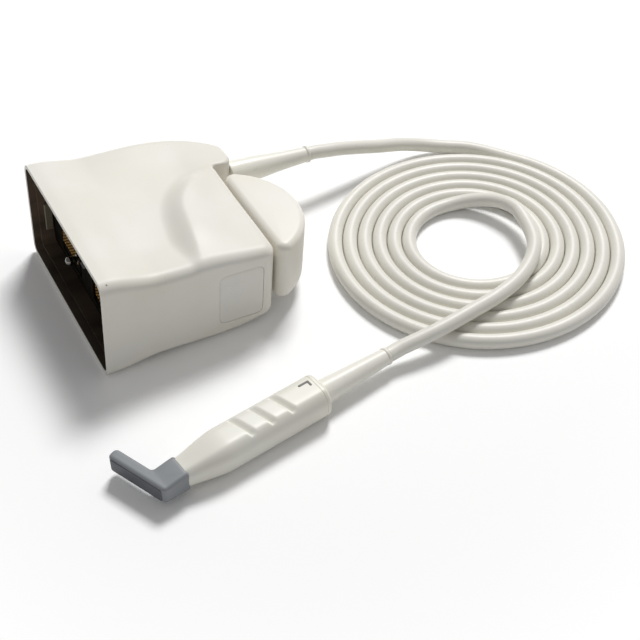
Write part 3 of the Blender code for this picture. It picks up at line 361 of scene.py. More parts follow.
def smooth_route(knots: Array, spacing: float) -> Array:
    """Even points along a centripetal curve through knots.

    Each stretch blends the lines through its four nearest knots, with the square root of
    their distances as the curve's pace; the result is measured and divided evenly.

    Args:
        knots: Points that the curve passes through.
        spacing: Distance between the points made.

    Returns:
        Array of points, in the knots' units.
    """
    padded = np.concatenate([[2 * knots[0] - knots[1]], knots, [2 * knots[-1] - knots[-2]]])
    a, b, c, d = (padded[i:len(padded) - 3 + i, None, :] for i in range(4))
    pairs = ((a, b), (b, c), (c, d))
    step = [np.linalg.norm(q - p, axis=-1, keepdims=True) ** 0.5 for p, q in pairs]
    t1, t2, t3 = step[0], step[0] + step[1], step[0] + step[1] + step[2]
    t = t1 + (t2 - t1) * (np.arange(24) / 24)[None, :, None]
    ab = a + (b - a) * t / t1
    bc = b + (c - b) * (t - t1) / (t2 - t1)
    cd = c + (d - c) * (t - t2) / (t3 - t2)
    abc, bcd = ab + (bc - ab) * t / t2, bc + (cd - bc) * (t - t1) / (t3 - t1)
    curve = abc + (bcd - abc) * (t - t1) / (t2 - t1)
    fine = np.concatenate([curve.reshape(-1, 3), knots[-1:]])
    along = run_length(fine)
    wanted = np.linspace(0.0, along[-1], max(2, round(along[-1] / spacing)) + 1)
    return np.column_stack([np.interp(wanted, along, fine[:, i]) for i in range(3)])


def tube(path: Array, radius: float, steps: int) -> Array:
    """Round cord as a circle carried along a path that never runs upright.

    At each point the circle is spanned by the level direction square to the path and the
    direction square to both; it shrinks to a point at each end.

    Args:
        path: Centreline.
        radius: Radius of the cord.
        steps: Points of each circle.

    Returns:
        Grid of points, path points plus two by steps by xyz.
    """
    ahead = np.gradient(path, axis=0)
    ahead /= np.linalg.norm(ahead, axis=1, keepdims=True)
    level = np.cross(ahead, [0.0, 0.0, 1.0])
    level /= np.linalg.norm(level, axis=1, keepdims=True)
    upright = np.cross(level, ahead)
    angle = circle(steps)[None, :, None]
    spokes = level[:, None] * np.cos(angle) + upright[:, None] * np.sin(angle)
    rings = path[:, None] + radius * spokes
    ends = [np.repeat(path[i][None, None], steps, axis=1) for i in (0, -1)]
    return np.concatenate([ends[0], rings, ends[1]])


# Meshes and pieces


@dataclass(frozen=True)
class Skin:
    """Grid of row-frame points, how it closes, and the mask value that its points carry."""

    grid: Array
    round_columns: bool = True
    mask: float | Array = 0.0

    def faces(self) -> Array:
        """Four corners of each grid cell, as point numbers.

        Returns:
            Array of faces.
        """
        rows, columns = self.grid.shape[:2]
        number = np.arange(rows * columns).reshape(rows, columns)
        if self.round_columns:
            number = np.concatenate([number, number[:, :1]], axis=1)
        near, far = number[:-1], number[1:]
        return np.stack([near[:, :-1], near[:, 1:], far[:, 1:], far[:, :-1]], -1).reshape(-1, 4)


def sharpen(mesh: bpy.types.Mesh, crisp: float) -> None:
    """Shade a mesh smooth but for edges that turn by more degrees than this."""
    mesh.shade_smooth()
    mesh.set_sharp_from_angle(angle=math.radians(crisp))


def mesh_of(name: str, skins: Sequence[Skin], crisp: float = 40.0) -> bpy.types.Mesh:
    """Join grids into one mesh, close its seams and poles, and turn its faces outwards.

    Args:
        name: The mesh's name.
        skins: Grids in the row frame.
        crisp: Edges that turn by more degrees than this stay sharp.

    Returns:
        The mesh, with the grids' mask values in the point attribute "mask".
    """
    points = np.concatenate([s.grid.reshape(-1, 3) for s in skins])
    starts = np.cumsum([0] + [s.grid.shape[0] * s.grid.shape[1] for s in skins[:-1]])
    faces = np.concatenate([s.faces() + start for s, start in zip(skins, starts)])
    mask = np.concatenate([np.broadcast_to(s.mask, s.grid.shape[:2]).ravel() for s in skins])
    mesh = bpy.data.meshes.new(name)
    mesh.from_pydata(points, [], faces)
    mesh.attributes.new("mask", "FLOAT", "POINT").data.foreach_set("value", mask.astype(np.float32))
    bm = bmesh.new()
    bm.from_mesh(mesh)
    bmesh.ops.remove_doubles(bm, verts=bm.verts, dist=1e-6)
    bmesh.ops.recalc_face_normals(bm, faces=bm.faces)
    bm.to_mesh(mesh)
    bm.free()
    sharpen(mesh, crisp)
    return mesh


def show(thing: bpy.types.Object) -> bpy.types.Object:
    """Put an object into the scene."""
    bpy.context.scene.collection.objects.link(thing)
    return thing


def add_piece(
    name: str, skins: Array | Sequence[Skin], finish: "Finish", body: Body,
    replaces: Sequence[str] = (), crisp: float = 40.0,
) -> bpy.types.Object:
    """Show grids as a piece of the object.

    Args:
        name: The piece's name.
        skins: Its grids, or the points of its only one, in the row frame.
        finish: What it is made of.
        body: Body that it rides on.
        replaces: CAD nodes that it stands for.
        crisp: Edges that turn by more degrees than this stay sharp.

    Returns:
        The piece.
    """
    mesh = mesh_of(name, [Skin(skins)] if isinstance(skins, np.ndarray) else skins, crisp)
    piece = show(bpy.data.objects.new(name, mesh))
    mesh.materials.append(finish.material())
    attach(piece, body.value)
    if replaces:
        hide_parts(*replaces)
    LOG.info("%s: %d faces", name, len(mesh.polygons))
    return piece


def cut_from(target: bpy.types.Object, tool_mesh: bpy.types.Mesh, crisp: float) -> None:
    """Take a closed mesh out of a piece for good.

    Args:
        target: The piece.
        tool_mesh: What is taken out.
        crisp: Edges that turn by more degrees than this stay sharp.
    """
    tool = show(bpy.data.objects.new(tool_mesh.name, tool_mesh))
    step = target.modifiers.new("cut", "BOOLEAN")
    step.operation, step.solver, step.object = "DIFFERENCE", "EXACT", tool
    bpy.context.view_layer.update()
    evaluated = target.evaluated_get(bpy.context.evaluated_depsgraph_get())
    made = bpy.data.meshes.new_from_object(evaluated)
    target.modifiers.clear()
    target.data = made
    sharpen(made, crisp)
    bpy.data.objects.remove(tool)


# Shader maths


def operator(kind: str, reflected: bool = False) -> Callable[["Signal", Any], "Signal"]:
    """Python operator that makes a math node.

    Args:
        kind: The node's operation.
        reflected: Whether the other value comes first.

    Returns:
        The method.
    """

    def method(signal: "Signal", other: Any) -> "Signal":
        """Math node on the signal and the other value."""
        return signal.maths(kind, *((other, signal) if reflected else (signal, other)))

    return method


class Signal:
    """A node's output socket that takes part in Python arithmetic."""

    def __init__(self, tree: "Tree", socket: bpy.types.NodeSocket) -> None:
        """Wrap a socket of a tree."""
        self.tree, self.socket = tree, socket

    def maths(self, operation: str, *values: Any) -> "Signal":
        """Math node on values, in order."""
        return self.tree.out("ShaderNodeMath", {"operation": operation}, dict(enumerate(values)))

    __add__, __radd__ = operator("ADD"), operator("ADD", True)
    __sub__, __rsub__ = operator("SUBTRACT"), operator("SUBTRACT", True)
    __mul__, __rmul__ = operator("MULTIPLY"), operator("MULTIPLY", True)
    __pow__, __rpow__ = operator("POWER"), operator("POWER", True)

    def wave(self) -> "Signal":
        """Sine."""
        return self.maths("SINE", self)

    def over(self, edge: float, blur: float) -> "Signal":
        """Soft step: 0 below the edge, 1 above it, eased over twice the blur."""
        return self.tree.out(
            "ShaderNodeMapRange", {"interpolation_type": "SMOOTHSTEP"},
            {"Value": self, "From Min": edge - blur, "From Max": edge + blur}, "Result")


class Tree:
    """Node tree of a material or a world."""

    def __init__(self, tree: bpy.types.NodeTree) -> None:
        """Take over a tree and clear it."""
        self.tree = tree
        tree.nodes.clear()

    def node(
        self, kind: str, settings: dict[str, Any] | None = None,
        values: dict[Any, Any] | None = None,
    ) -> bpy.types.Node:
        """Make any node.

        Args:
            kind: The node's type.
            settings: Its own settings, set before anything else.
            values: Value or link of each socket, by name or number.

        Returns:
            The node.
        """
        made = self.tree.nodes.new(kind)
        for key, value in (settings or {}).items():
            setattr(made, key, value)
        for key, value in (values or {}).items():
            socket = made.inputs[key]
            if isinstance(value, Signal):
                self.tree.links.new(value.socket, socket)
            else:
                socket.default_value = (*value, 1.0) if socket.type == "RGBA" else value
        return made

    def out(
        self, kind: str, settings: dict[str, Any], values: dict[Any, Any], output: Any = 0,
    ) -> Signal:
        """Make a node and give one of its outputs."""
        return Signal(self, self.node(kind, settings, values).outputs[output])

    def place(self) -> Signal:
        """Object coordinates, which are row-frame metres on every piece."""
        return self.out("ShaderNodeTexCoord", {}, {}, "Object")

    def axis(self, number: int) -> Signal:
        """One of the object coordinates."""
        return self.out("ShaderNodeSeparateXYZ", {}, {0: self.place()}, number)

    def noise(self, scale: float, detail: float = 2.0, stretch: Triple = (1.0, 1.0, 1.0)) -> Signal:
        """Noise around 0.5 on object coordinates.

        Args:
            scale: Features to the metre.
            detail: Octaves of finer noise.
            stretch: Factor on each axis before the noise.

        Returns:
            The noise.
        """
        where = self.out("ShaderNodeMapping", {}, {"Vector": self.place(), "Scale": stretch})
        values = {"Vector": where, "Scale": scale, "Detail": detail}
        return self.out("ShaderNodeTexNoise", {}, values)

    def cells(self, scale: float) -> Signal:
        """Distance to the nearest of scattered points, on object coordinates."""
        values = {"Vector": self.place(), "Scale": scale}
        return self.out("ShaderNodeTexVoronoi", {"feature": "F1"}, values, "Distance")

    def mask(self) -> Signal:
        """The piece's own mask attribute."""
        return self.out("ShaderNodeAttribute", {"attribute_name": "mask"}, {}, "Fac")

    def blend(self, share: Any, first: Any, second: Any) -> Signal:
        """Mix of two colours: the first where the share is 0."""
        return self.out("ShaderNodeMix", {"data_type": "RGBA"}, {0: share, 6: first, 7: second}, 2)

    def tones(self, share: Signal, colour: Triple, first: float, second: float) -> Signal:
        """Mix of two tones of a colour: the first factor where the share is 0."""
        return self.blend(share, shade(colour, first), shade(colour, second))

    def tinted(self, colour: Any, factor: float) -> Signal:
        """A colour signal made lighter or darker."""
        values = {0: colour, "Scale": factor}
        return self.out("ShaderNodeVectorMath", {"operation": "SCALE"}, values)

    def paint_mouth_light_and_shade(self, colour: Any) -> Signal:
        """Colour of the mouth's inside: painted light on the far wall, painted shade elsewhere."""
        reach = self.axis(1).over(0.072, 0.010)
        return self.blend(reach, self.tinted(colour, 0.62), self.tinted(colour, 1.9))

    def bump(self, height: Signal, distance: float) -> Signal:
        """Normal bent by a height of 0 to 1, which stands for a distance in metres."""
        return self.out("ShaderNodeBump", {}, {"Height": height, "Distance": distance})

    def surface(
        self, colour: Any, roughness: Any, height: Signal, distance: float,
    ) -> dict[str, Any]:
        """Varying inputs of a shader, by socket name, with the height as its relief."""
        return {"Base Color": colour, "Roughness": roughness, "Normal": self.bump(height, distance)}


def shade(colour: Triple, factor: float) -> Triple:
    """A colour made lighter or darker."""
    return tuple(min(1.0, c * factor) for c in colour)


@dataclass(frozen=True)
class Finish:
    """Base of all finishes: a name, the record's slot and the plain surface values."""

    name: str
    slot: str
    colour: Triple
    roughness: float
    metallic: float = 0.0
    gloss: float = 0.5

    def dress(self, tree: Tree) -> dict[str, Any]:
        """Varying inputs of the shader, by socket name."""
        return {"Base Color": self.colour}

    def material(self) -> bpy.types.Material:
        """Make the material, or give the one already made.

        Returns:
            The material.
        """
        made = bpy.data.materials.get(self.name)
        if made is None:
            made = bpy.data.materials.new(self.name)
            made.use_nodes = True
            tree = Tree(made.node_tree)
            shader = tree.out("ShaderNodeBsdfPrincipled", {}, {
                "Roughness": self.roughness, "Metallic": self.metallic,
                "Specular IOR Level": self.gloss, **self.dress(tree)})
            tree.node("ShaderNodeOutputMaterial", {}, {"Surface": shader})
            made.diffuse_color = (*self.colour, 1.0)
        return made


@dataclass(frozen=True)
class Moulded(Finish):
    """Moulded plastic: fine spark-eroded grain, slow clouding, faint specks and handling gloss.

    A lining is the dark coat of the skin where the mask is 1; painted light and shade of the
    mouth's inside lie over it.
    """

    grain: float = 2600.0
    grain_depth: float = 0.000012
    clouding: float = 0.03
    specks: float = 0.25
    lining: Triple | None = None
    warmth: Triple = (1.01, 0.995, 0.96)
    speck_tone: float = 0.62

    def dress(self, tree: Tree) -> dict[str, Any]:
        """Colour from clouds and specks, with painted light and shade on the lining; roughness from
        handling, normal from the grain.

        Args:
            tree: The material's nodes.

        Returns:
            Varying inputs of the shader, by socket name.
        """
        clouds = tree.noise(28.0, 3.0)
        warm = tuple(c * w for c, w in zip(self.colour, self.warmth))
        light, dark = shade(self.colour, 1 + self.clouding), shade(warm, 1 - self.clouding)
        colour = tree.blend(clouds.over(0.5, 0.25), light, dark)
        speck = (1.0 - tree.cells(420.0).over(0.10, 0.05)) * tree.noise(60.0).over(0.60, 0.05)
        colour = tree.blend(speck * self.specks, colour, shade(self.colour, self.speck_tone))
        grain, handled = tree.noise(self.grain), tree.noise(45.0)
        rough = self.roughness + (handled - 0.5) * 0.16 + (grain - 0.5) * 0.08
        if self.lining is not None:
            coat = tree.mask().over(0.5, 0.02)
            streaks = tree.noise(160.0, 4.0, (0.2, 1.0, 1.0)).over(0.5, 0.2)
            # Painted light on the mouth's far wall and painted shade elsewhere, over the lining's
            # coat.
            coated = tree.paint_mouth_light_and_shade(tree.tones(streaks, self.lining, 1.0, 0.65))
            colour = tree.blend(coat, colour, coated)
        return tree.surface(colour, rough, grain, self.grain_depth)


@dataclass(frozen=True)
class Jacket(Finish):
    """Soft cable jacket: slow ripple from its extrusion, dusty matt patches and tiny specks."""

    ripple: float = 0.00009

    def dress(self, tree: Tree) -> dict[str, Any]:
        """Colour from dust and clouds, normal from ripple and skin grain.

        Args:
            tree: The material's nodes.

        Returns:
            Varying inputs of the shader, by socket name.
        """
        clouds, dust = tree.noise(35.0, 3.0), tree.noise(700.0, 4.0)
        colour = tree.tones(clouds.over(0.5, 0.25), self.colour, 1.03, 0.965)
        colour = tree.blend(dust.over(0.66, 0.05) * 0.35, colour, shade(self.colour, 0.80))
        rough = self.roughness + (dust - 0.5) * 0.14 + (clouds - 0.5) * 0.12
        skin = tree.noise(140.0) * 0.8 + tree.noise(1900.0) * 0.2
        return tree.surface(colour, rough, skin, self.ripple)


@dataclass(frozen=True)
class Coated(Finish):
    """Dark conductive coat or insulator: sprayed grain, streaks and rubbed lighter patches."""

    streak: float = 0.5
    paints_mouth_light_and_shade: bool = False
    spray: float = 0.00003

    def dress(self, tree: Tree) -> dict[str, Any]:
        """Colour from streaks along the plug axis, with painted light and shade in the mouth;
        normal from the spray grain.

        Args:
            tree: The material's nodes.

        Returns:
            Varying inputs of the shader, by socket name.
        """
        streaks = tree.noise(150.0, 4.0, (0.15, 1.0, 1.0)).over(0.52, 0.18)
        colour = tree.tones(streaks, self.colour, 1 + self.streak, 1 - 0.5 * self.streak)
        # In the mouth: painted light on the far wall, painted shade elsewhere.
        if self.paints_mouth_light_and_shade:
            colour = tree.paint_mouth_light_and_shade(colour)
        grain = tree.noise(1700.0, 3.0)
        return tree.surface(colour, self.roughness + (grain - 0.5) * 0.3, grain, self.spray)


@dataclass(frozen=True)
class Metal(Finish):
    """Turned or plated metal: fine rings from the tool along the plug axis, faint tarnish."""

    tarnish: float = 0.15
    rings: float = 24000.0
    ring_depth: float = 0.000003

    def dress(self, tree: Tree) -> dict[str, Any]:
        """Colour from tarnish, roughness from wear, normal from the tool's rings.

        Args:
            tree: The material's nodes.

        Returns:
            Varying inputs of the shader, by socket name.
        """
        spots = tree.noise(260.0, 4.0)
        colour = tree.tones(spots.over(0.55, 0.2), self.colour, 1.0, 1 - self.tarnish)
        rings = (tree.axis(0) * self.rings + tree.noise(900.0) * 2.0).wave() * 0.5 + 0.5
        return tree.surface(colour, self.roughness + (spots - 0.5) * 0.2, rings, self.ring_depth)


@dataclass(frozen=True)
class Laminate(Finish):
    """Circuit board or flexible film: copper runs under the varnish, on a fine grid."""

    trace: Triple = (0.30, 0.24, 0.08)
    pitch: float = 0.0013
    trace_height: float = 0.00002

    def dress(self, tree: Tree) -> dict[str, Any]:
        """Colour and normal from runs along x that noise bends and breaks up.

        Args:
            tree: The material's nodes.

        Returns:
            Varying inputs of the shader, by socket name.
        """
        bent = tree.axis(1) + tree.noise(90.0, 1.0) * 0.002
        broken = (bent * (FULL_TURN / self.pitch)).wave().over(0.45, 0.2)
        broken = broken * tree.noise(220.0).over(0.5, 0.05)
        colour = tree.blend(broken, self.colour, self.trace)
        return tree.surface(colour, self.roughness, broken, self.trace_height)


@dataclass(frozen=True)
class Rubber(Finish):
    """Cast silicone or ceramic face: soft clouding and a dry, fine skin."""

    skin_depth: float = 0.00001

    def dress(self, tree: Tree) -> dict[str, Any]:
        """Colour from clouds, roughness and normal from the skin.

        Args:
            tree: The material's nodes.

        Returns:
            Varying inputs of the shader, by socket name.
        """
        clouds, skin = tree.noise(120.0, 3.0), tree.noise(2400.0, 3.0)
        colour = tree.tones(clouds.over(0.5, 0.2), self.colour, 1.12, 0.88)
        return tree.surface(colour, self.roughness + (skin - 0.5) * 0.2, skin, self.skin_depth)


HOUSING_PLASTIC = Moulded(
    "housing_plastic_moulded", "housing_plastic", (0.815, 0.795, 0.74), 0.46,
    gloss=0.4, lining=(0.075, 0.054, 0.038))
LEVER_PLASTIC = Moulded(
    "lever_plastic_moulded", "lever_plastic", (0.865, 0.84, 0.775), 0.42, gloss=0.4, clouding=0.02)
HANDLE_PLASTIC = Moulded(
    "handle_plastic_moulded", "handle_plastic", (0.82, 0.805, 0.735), 0.36,
    clouding=0.02, grain_depth=0.000006)
HEAD_PLASTIC = Moulded(
    "head_plastic_moulded", "head_plastic", (0.25, 0.265, 0.285), 0.42,
    grain=3200.0, grain_depth=0.00002, specks=0.15)
MARK_PLASTIC = Moulded(
    "mark_plastic_moulded", "head_plastic", (0.16, 0.155, 0.14), 0.5, grain=3200.0, specks=0.0)
LABEL_FILM = Moulded(
    "label_film_matt", "label_film", (0.78, 0.765, 0.72), 0.30,
    grain=4200.0, grain_depth=0.000004, clouding=0.012, specks=0.1)
KEY_PLASTIC = Moulded("key_plastic_moulded", "key_plastic", (0.20, 0.175, 0.12), 0.6)
CABLE_JACKET = Jacket("cable_jacket_soft", "cable_jacket", (0.81, 0.79, 0.72), 0.42)
RELIEF_JACKET = Jacket("relief_jacket_soft", "cable_jacket", (0.88, 0.86, 0.78), 0.40)
LENS_RUBBER = Rubber("lens_rubber_cast", "lens_rubber", (0.085, 0.09, 0.105), 0.5)
# The shield coat carries painted light on the mouth's far wall and painted shade elsewhere.
DARK_SHIELD = Coated(
    "dark_shield_coat", "dark_shield", (0.060, 0.043, 0.030), 0.85, gloss=0.15, paints_mouth_light_and_shade=True)
# Near black partly as the insulator's own colour and partly as painted shade of the mouth's inside.
DARK_INSULATOR = Coated(
    "dark_insulator_moulded", "dark_insulator", (0.008, 0.006, 0.004), 0.9, gloss=0.05)
# Gold darker than bare plating: painted shade, as little light reaches into the mouth.
CONTACT_GOLD_PAINTED_SHADE = Metal("contact_gold_plate", "contact_gold", (0.72, 0.42, 0.13), 0.30, 1.0)
STEEL = Metal("steel_turned", "polished_steel", (0.66, 0.66, 0.67), 0.22, 1.0)
DARK_STEEL = Metal("steel_blackened", "polished_steel", (0.05, 0.045, 0.04), 0.38, 1.0)
# Plated steel with a dark base colour: painted shade standing in for the dark inside of the mouth
# that the real ball and ring mirror.
CHROME_PAINTED_DARK = Metal("steel_plated_painted_shade", "polished_steel", (0.20, 0.19, 0.18), 0.10, 1.0, tarnish=0.04)
BRASS = Metal("brass_turned", "brass", (0.62, 0.50, 0.26), 0.35, 1.0)
BOARD = Laminate("circuit_board_varnished", "circuit_board", (0.05, 0.16, 0.08), 0.4)
FILM = Laminate(
    "flex_film_printed", "flex_film", (0.45, 0.24, 0.06), 0.4, trace=(0.60, 0.38, 0.16))
CERAMIC = Rubber("array_ceramic_fired", "array_ceramic", (0.30, 0.28, 0.26), 0.6)


# Connector


@dataclass(frozen=True)
class Housing:
    """Moulded shell of the connector, open at its mouth.

    A field of two numbers that ends in _ease is where an eased step starts and its length; a
    hole is its depth and radius, and the pin hole is its lower and upper end and its radius.
    """

    half_width: float = 45.7
    length: float = 75.5
    wall: float = 1.8
    boss_reach: float = 10.5
    bay_wall: float = 18.888
    rim: float = 5.0
    rear_corner: float = 5.4
    boss_corner: float = 5.2
    bay_fillet: float = 2.0
    far_radius: float = 40.0
    far_overhang: float = 10.0
    far_fillet: float = 6.0
    mouth_half_height: float = 24.2
    mouth_stops: Triple = (-16.0, 25.5, 33.0)
    mouth_ease: Pair = (0.0, 16.0)
    lip_bulge: float = 0.3
    rim_shares: tuple[float, ...] = (1.0, 1.0, 0.7, 0.6, 0.3, 0.4, 0.8, 1.0)
    ridge_start: float = 51.6
    ridge_slant: float = 0.2
    ridge_far: float = 14.0
    ridge_corner: float = 25.0
    ridge_drop: float = 0.7
    ridge_mid_drop: float = 4.1
    ridge_foot: float = 4.5
    ridge_mid_foot: float = 5.8
    ridge_fade: float = 22.0
    ridge_outer_fade: float = 1.7
    middle_ease: Pair = (-46.0, 24.0)
    middle_end_ease: Pair = (56.0, 18.0)
    middle_end_loss: float = 0.65
    rear_ease: Pair = (62.0, 13.0)
    rear_loss: float = 0.45
    belly_lift: float = 2.2
    belly_rear_ease: Pair = (52.0, 24.0)
    belly_side_ease: Pair = (4.0, 40.0)
    half_height: Eased = Eased(
        (3.0, 25.0, 46.0, 75.5, 86.0), (24.2, 20.9, 21.0, 18.6, 17.8))
    bush_hole: Pair = (3.6, 5.6)
    cable_hole: Pair = (4.0, 3.9)
    pin_hole: Triple = (21.0, 26.0, 0.35)
    pin_place: Pair = (3.0, -43.3)

    def outline(self) -> Outline:
        """Plan of the outside, from the mouth's near corner round the rear to its far corner.

        Returns:
            The open outline, in the connector's directions.
        """
        end = self.length + self.boss_reach
        far_x, far_y = end + self.far_overhang - self.far_radius, self.half_width - self.far_radius
        reach = self.far_radius - self.far_fillet
        fillet_x = end - self.far_fillet
        meet = math.acos((fillet_x - far_x) / reach)
        arcs = (
            Arc(self.length - self.rear_corner, self.rear_corner - self.half_width,
                self.rear_corner, -QUARTER_TURN, 0.0, 12),
            Arc(self.length + self.bay_fillet, self.bay_wall - self.bay_fillet,
                self.bay_fillet, HALF_TURN, QUARTER_TURN, 8),
            Arc(end - self.boss_corner, self.bay_wall + self.boss_corner,
                self.boss_corner, -QUARTER_TURN, 0.0, 10),
            Arc(fillet_x, far_y + reach * math.sin(meet), self.far_fillet, 0.0, meet, 8),
            Arc(far_x, far_y, self.far_radius, meet, QUARTER_TURN, 32),
        )
        ends = (((0.0, -self.half_width), (0.0, 1.0)), ((0.0, self.half_width), (0.0, -1.0)))
        return Outline(arcs, 1.0, ends)

    def thumb_rise(self, x: Array, y: Array) -> Array:
        """Height added to the upper face: a crescent slope that climbs to a crisp ridge.

        The distance d from the ridge is measured inwards from a rounded corner. Outside it
        the face drops at once, by a third of one less the square of (1 - d / foot), and by
        two thirds of an eased step, so it is steepest halfway down; half of the drop lies
        above the plain face and half below.

        Args:
            x: Distances from the mouth's rim.
            y: Places across, in the same shape.

        Returns:
            The heights, in the same shape.
        """
        along = x - (self.ridge_start + self.ridge_slant * y)
        across = self.ridge_far - y
        corner = self.ridge_corner
        d = corner - np.hypot(np.maximum(corner - along, 0.0), np.maximum(corner - across, 0.0))
        middle = ease(y, *self.middle_ease)
        middle = middle * (1 - self.middle_end_loss * ease(x, *self.middle_end_ease))
        drop = self.ridge_drop + self.ridge_mid_drop * middle
        drop = drop * (1 - self.rear_loss * ease(x, *self.rear_ease))
        foot = self.ridge_foot + self.ridge_mid_foot * middle
        t = np.clip(-d / foot, 0.0, 1.0)
        fall = (1 - (1 - t) ** 2 + 2 * ease(t)) / 3
        outside = (0.5 - fall) * (1 - ease(-d, foot, self.ridge_outer_fade * self.ridge_fade))
        inside = 0.5 * (1 - ease(d, 0.0, self.ridge_fade))
        return drop * np.where(d < 0, outside, inside) * ease(x, *self.mouth_ease)

    def front_line(self, ring: Array) -> Array:
        """Point of the mouth's edge that each point of a face's ring runs to.

        The near side, the rear wall and the far side each take their own share of the edge,
        in proportion to the length along the ring, so that no two lines cross.

        Args:
            ring: Plan of the face's border.

        Returns:
            Array of points, x and y, one for each of the ring's.
        """
        along = run_length(ring)
        x, y, half = ring[:, 0], ring[:, 1], ring[-1, 1]
        stops = [
            0.0,
            at_first(along, x > self.length - self.rear_corner - 0.01),
            at_first(along, (x > self.length - 1) & (y > self.bay_wall)),
            at_first(along, y > half - 0.01),
            along[-1],
        ]
        front = np.interp(along, stops, [-half, *self.mouth_stops, half])
        return np.column_stack([np.zeros_like(front), front])

    def rim_scale(self) -> Array:
        """Share of the rim's full radius at each outline point.

        It is full along the near side, falls round the rear and into the bay, where it is
        crisp, and grows again along the boss and the far side.

        Returns:
            The shares.
        """
        ring = self.outline().at(0.0)
        along, x, y = run_length(ring), ring[:, 0], ring[:, 1]
        rear = at_first(along, x > self.length - self.rear_corner)
        bay = at_first(along, (x > self.length - 1) & (y > self.bay_wall - self.bay_fillet))
        boss = at_first(along, y > self.bay_wall + self.boss_corner)
        places = [0.0, rear - 4.0, rear + 16.0, bay - 6.0, bay + 3.0, boss, boss + 24.0, along[-1]]
        return np.interp(along, places, self.rim_shares)

    def form(self, inset: float) -> Array:
        """Skin of the housing, one wall's inset further in for the inside.

        Each ring keeps its share of the half-height, which varies along x; the rim's rows
        draw together where its radius is scaled. The upper half follows the thumb rise, and
        the lower half lifts towards the rear of the near side.

        Args:
            inset: How far the skin lies inside the outer surface.

        Returns:
            Grid in the connector's directions.
        """
        full, rim = self.mouth_half_height - inset, self.rim - inset
        scale = self.rim_scale()
        outline = EasedRim(self.outline(), scale, inset)
        profile = round_rim(rim, full, 8, 8) + [inset, 0.0]
        grid = pillow(outline, profile, self.front_line(outline.at(self.rim)), 84)
        x, y, level = grid[..., 0], grid[..., 1], np.abs(grid[..., 2])
        rounded = full - (full - level) * scale
        straight = level * (full - rim * scale) / (full - rim)
        share = np.sign(grid[..., 2]) * np.where(level >= full - rim, rounded, straight) / full
        z = share * (self.half_height(x) - inset) + self.thumb_rise(x, y) * ease(share)
        rear = ease(x, *self.belly_rear_ease) ** 2 * ease(-y, *self.belly_side_ease)
        z += self.belly_lift * rear * ease(-share)
        return np.stack([x, y, z], axis=-1)

    def lip(self, outside: Array, inside: Array) -> Array:
        """Rounded edge of the mouth between the two skins' borders, bulging by a sine.

        Args:
            outside: Grid of the outer skin.
            inside: Grid of the inner skin.

        Returns:
            Grid in the connector's directions, from the outer to the inner border.
        """
        outer, inner = (
            np.concatenate([g[0, :-1], g[:-1, -1], g[-1, :0:-1], g[:0:-1, 0]])
            for g in (outside, inside)
        )
        share = np.linspace(0.0, 1.0, 6)[:, None, None]
        strip = outer + share * (inner - outer)
        strip[..., 0] -= self.lip_bulge * np.sin(HALF_TURN * share[..., 0])
        return strip

    def holes(self) -> list[Array]:
        """Rods for the bush, the cable and the small upright hole in the lip's near corner.

        Returns:
            Grids in the connector's directions.
        """
        end, past = self.length + self.boss_reach, 1.0
        depth, radius = self.bush_hole
        bush = rod(self.length - depth, self.length + past, radius, 48, (0.0, SHAFT_RISE))
        depth, radius = self.cable_hole
        cable = rod(end - depth, end + past, radius, 48, CABLE_OUTLET)
        pin = rod(*self.pin_hole, 16)[..., ::-1] + [*self.pin_place, 0.0]
        return [bush, cable, pin]

    def build(self, label: "Label") -> bpy.types.Object:
        """Join the skins and cut the label's recess and the holes.

        Args:
            label: The label plate whose recess is cut.

        Returns:
            The piece.
        """
        outside, inside = self.form(0.0), self.form(self.wall)
        strip = self.lip(outside, inside)
        lined = np.where(np.arange(len(strip)) == len(strip) - 1, 1.0, 0.0)[:, None]
        piece = add_piece("housing_shell", [
            Skin(CONNECTOR.put(outside), False, 0.0),
            Skin(CONNECTOR.put(inside), False, 1.0),
            Skin(CONNECTOR.put(strip), True, lined),
        ], HOUSING_PLASTIC, Body.PROBE, ["connector_housing"])
        tools = [label.plate(0.0, -label.recess, 1.0), *self.holes()]
        cut_from(piece, mesh_of("housing_cutters", [Skin(CONNECTOR.put(t)) for t in tools]), 40.0)
        return piece


@dataclass(frozen=True)
class Label:
    """Bare plate in its recess on the housing's near side."""

    length: float = 20.0
    height: float = 25.4
    end: float = 69.5
    drop: float = 0.6
    corner: float = 3.0
    recess: float = 0.6
    thickness: float = 0.5
    gap: float = 0.14
    lift: float = 0.06
    soft_edge: float = 0.12
    face: float = -45.7

    def plate(self, inset: float, low: float, high: float, edge: float = 0.02) -> Array:
        """Rounded rectangle upright in the near side, between two depths off its surface.

        Args:
            inset: Margin taken off all round.
            low: Deepest plane, negative inside the housing.
            high: Outer plane.
            edge: Radius of its edges.

        Returns:
            Grid in the connector's directions.
        """
        half_x, half_z = self.length / 2 - inset, self.height / 2 - inset
        outline = rounded_box(half_x, half_z, self.corner - inset, 8, 2.0)
        slab = pillow(outline, round_rim(edge, (high - low) / 2, 3, 2), (0.0, 0.0), 6)
        x = slab[..., 0] + self.end - self.length / 2
        y = self.face - (slab[..., 2] + (high + low) / 2)
        return np.stack([x, y, slab[..., 1] - self.drop], axis=-1)

    def build(self) -> bpy.types.Object:
        """The plate itself, just under flush, with soft edges."""
        low = self.lift - self.recess
        grid = CONNECTOR.put(self.plate(self.gap, low, low + self.thickness, self.soft_edge))
        return add_piece("label_plate", grid, LABEL_FILM, Body.PROBE, ["side_label"])


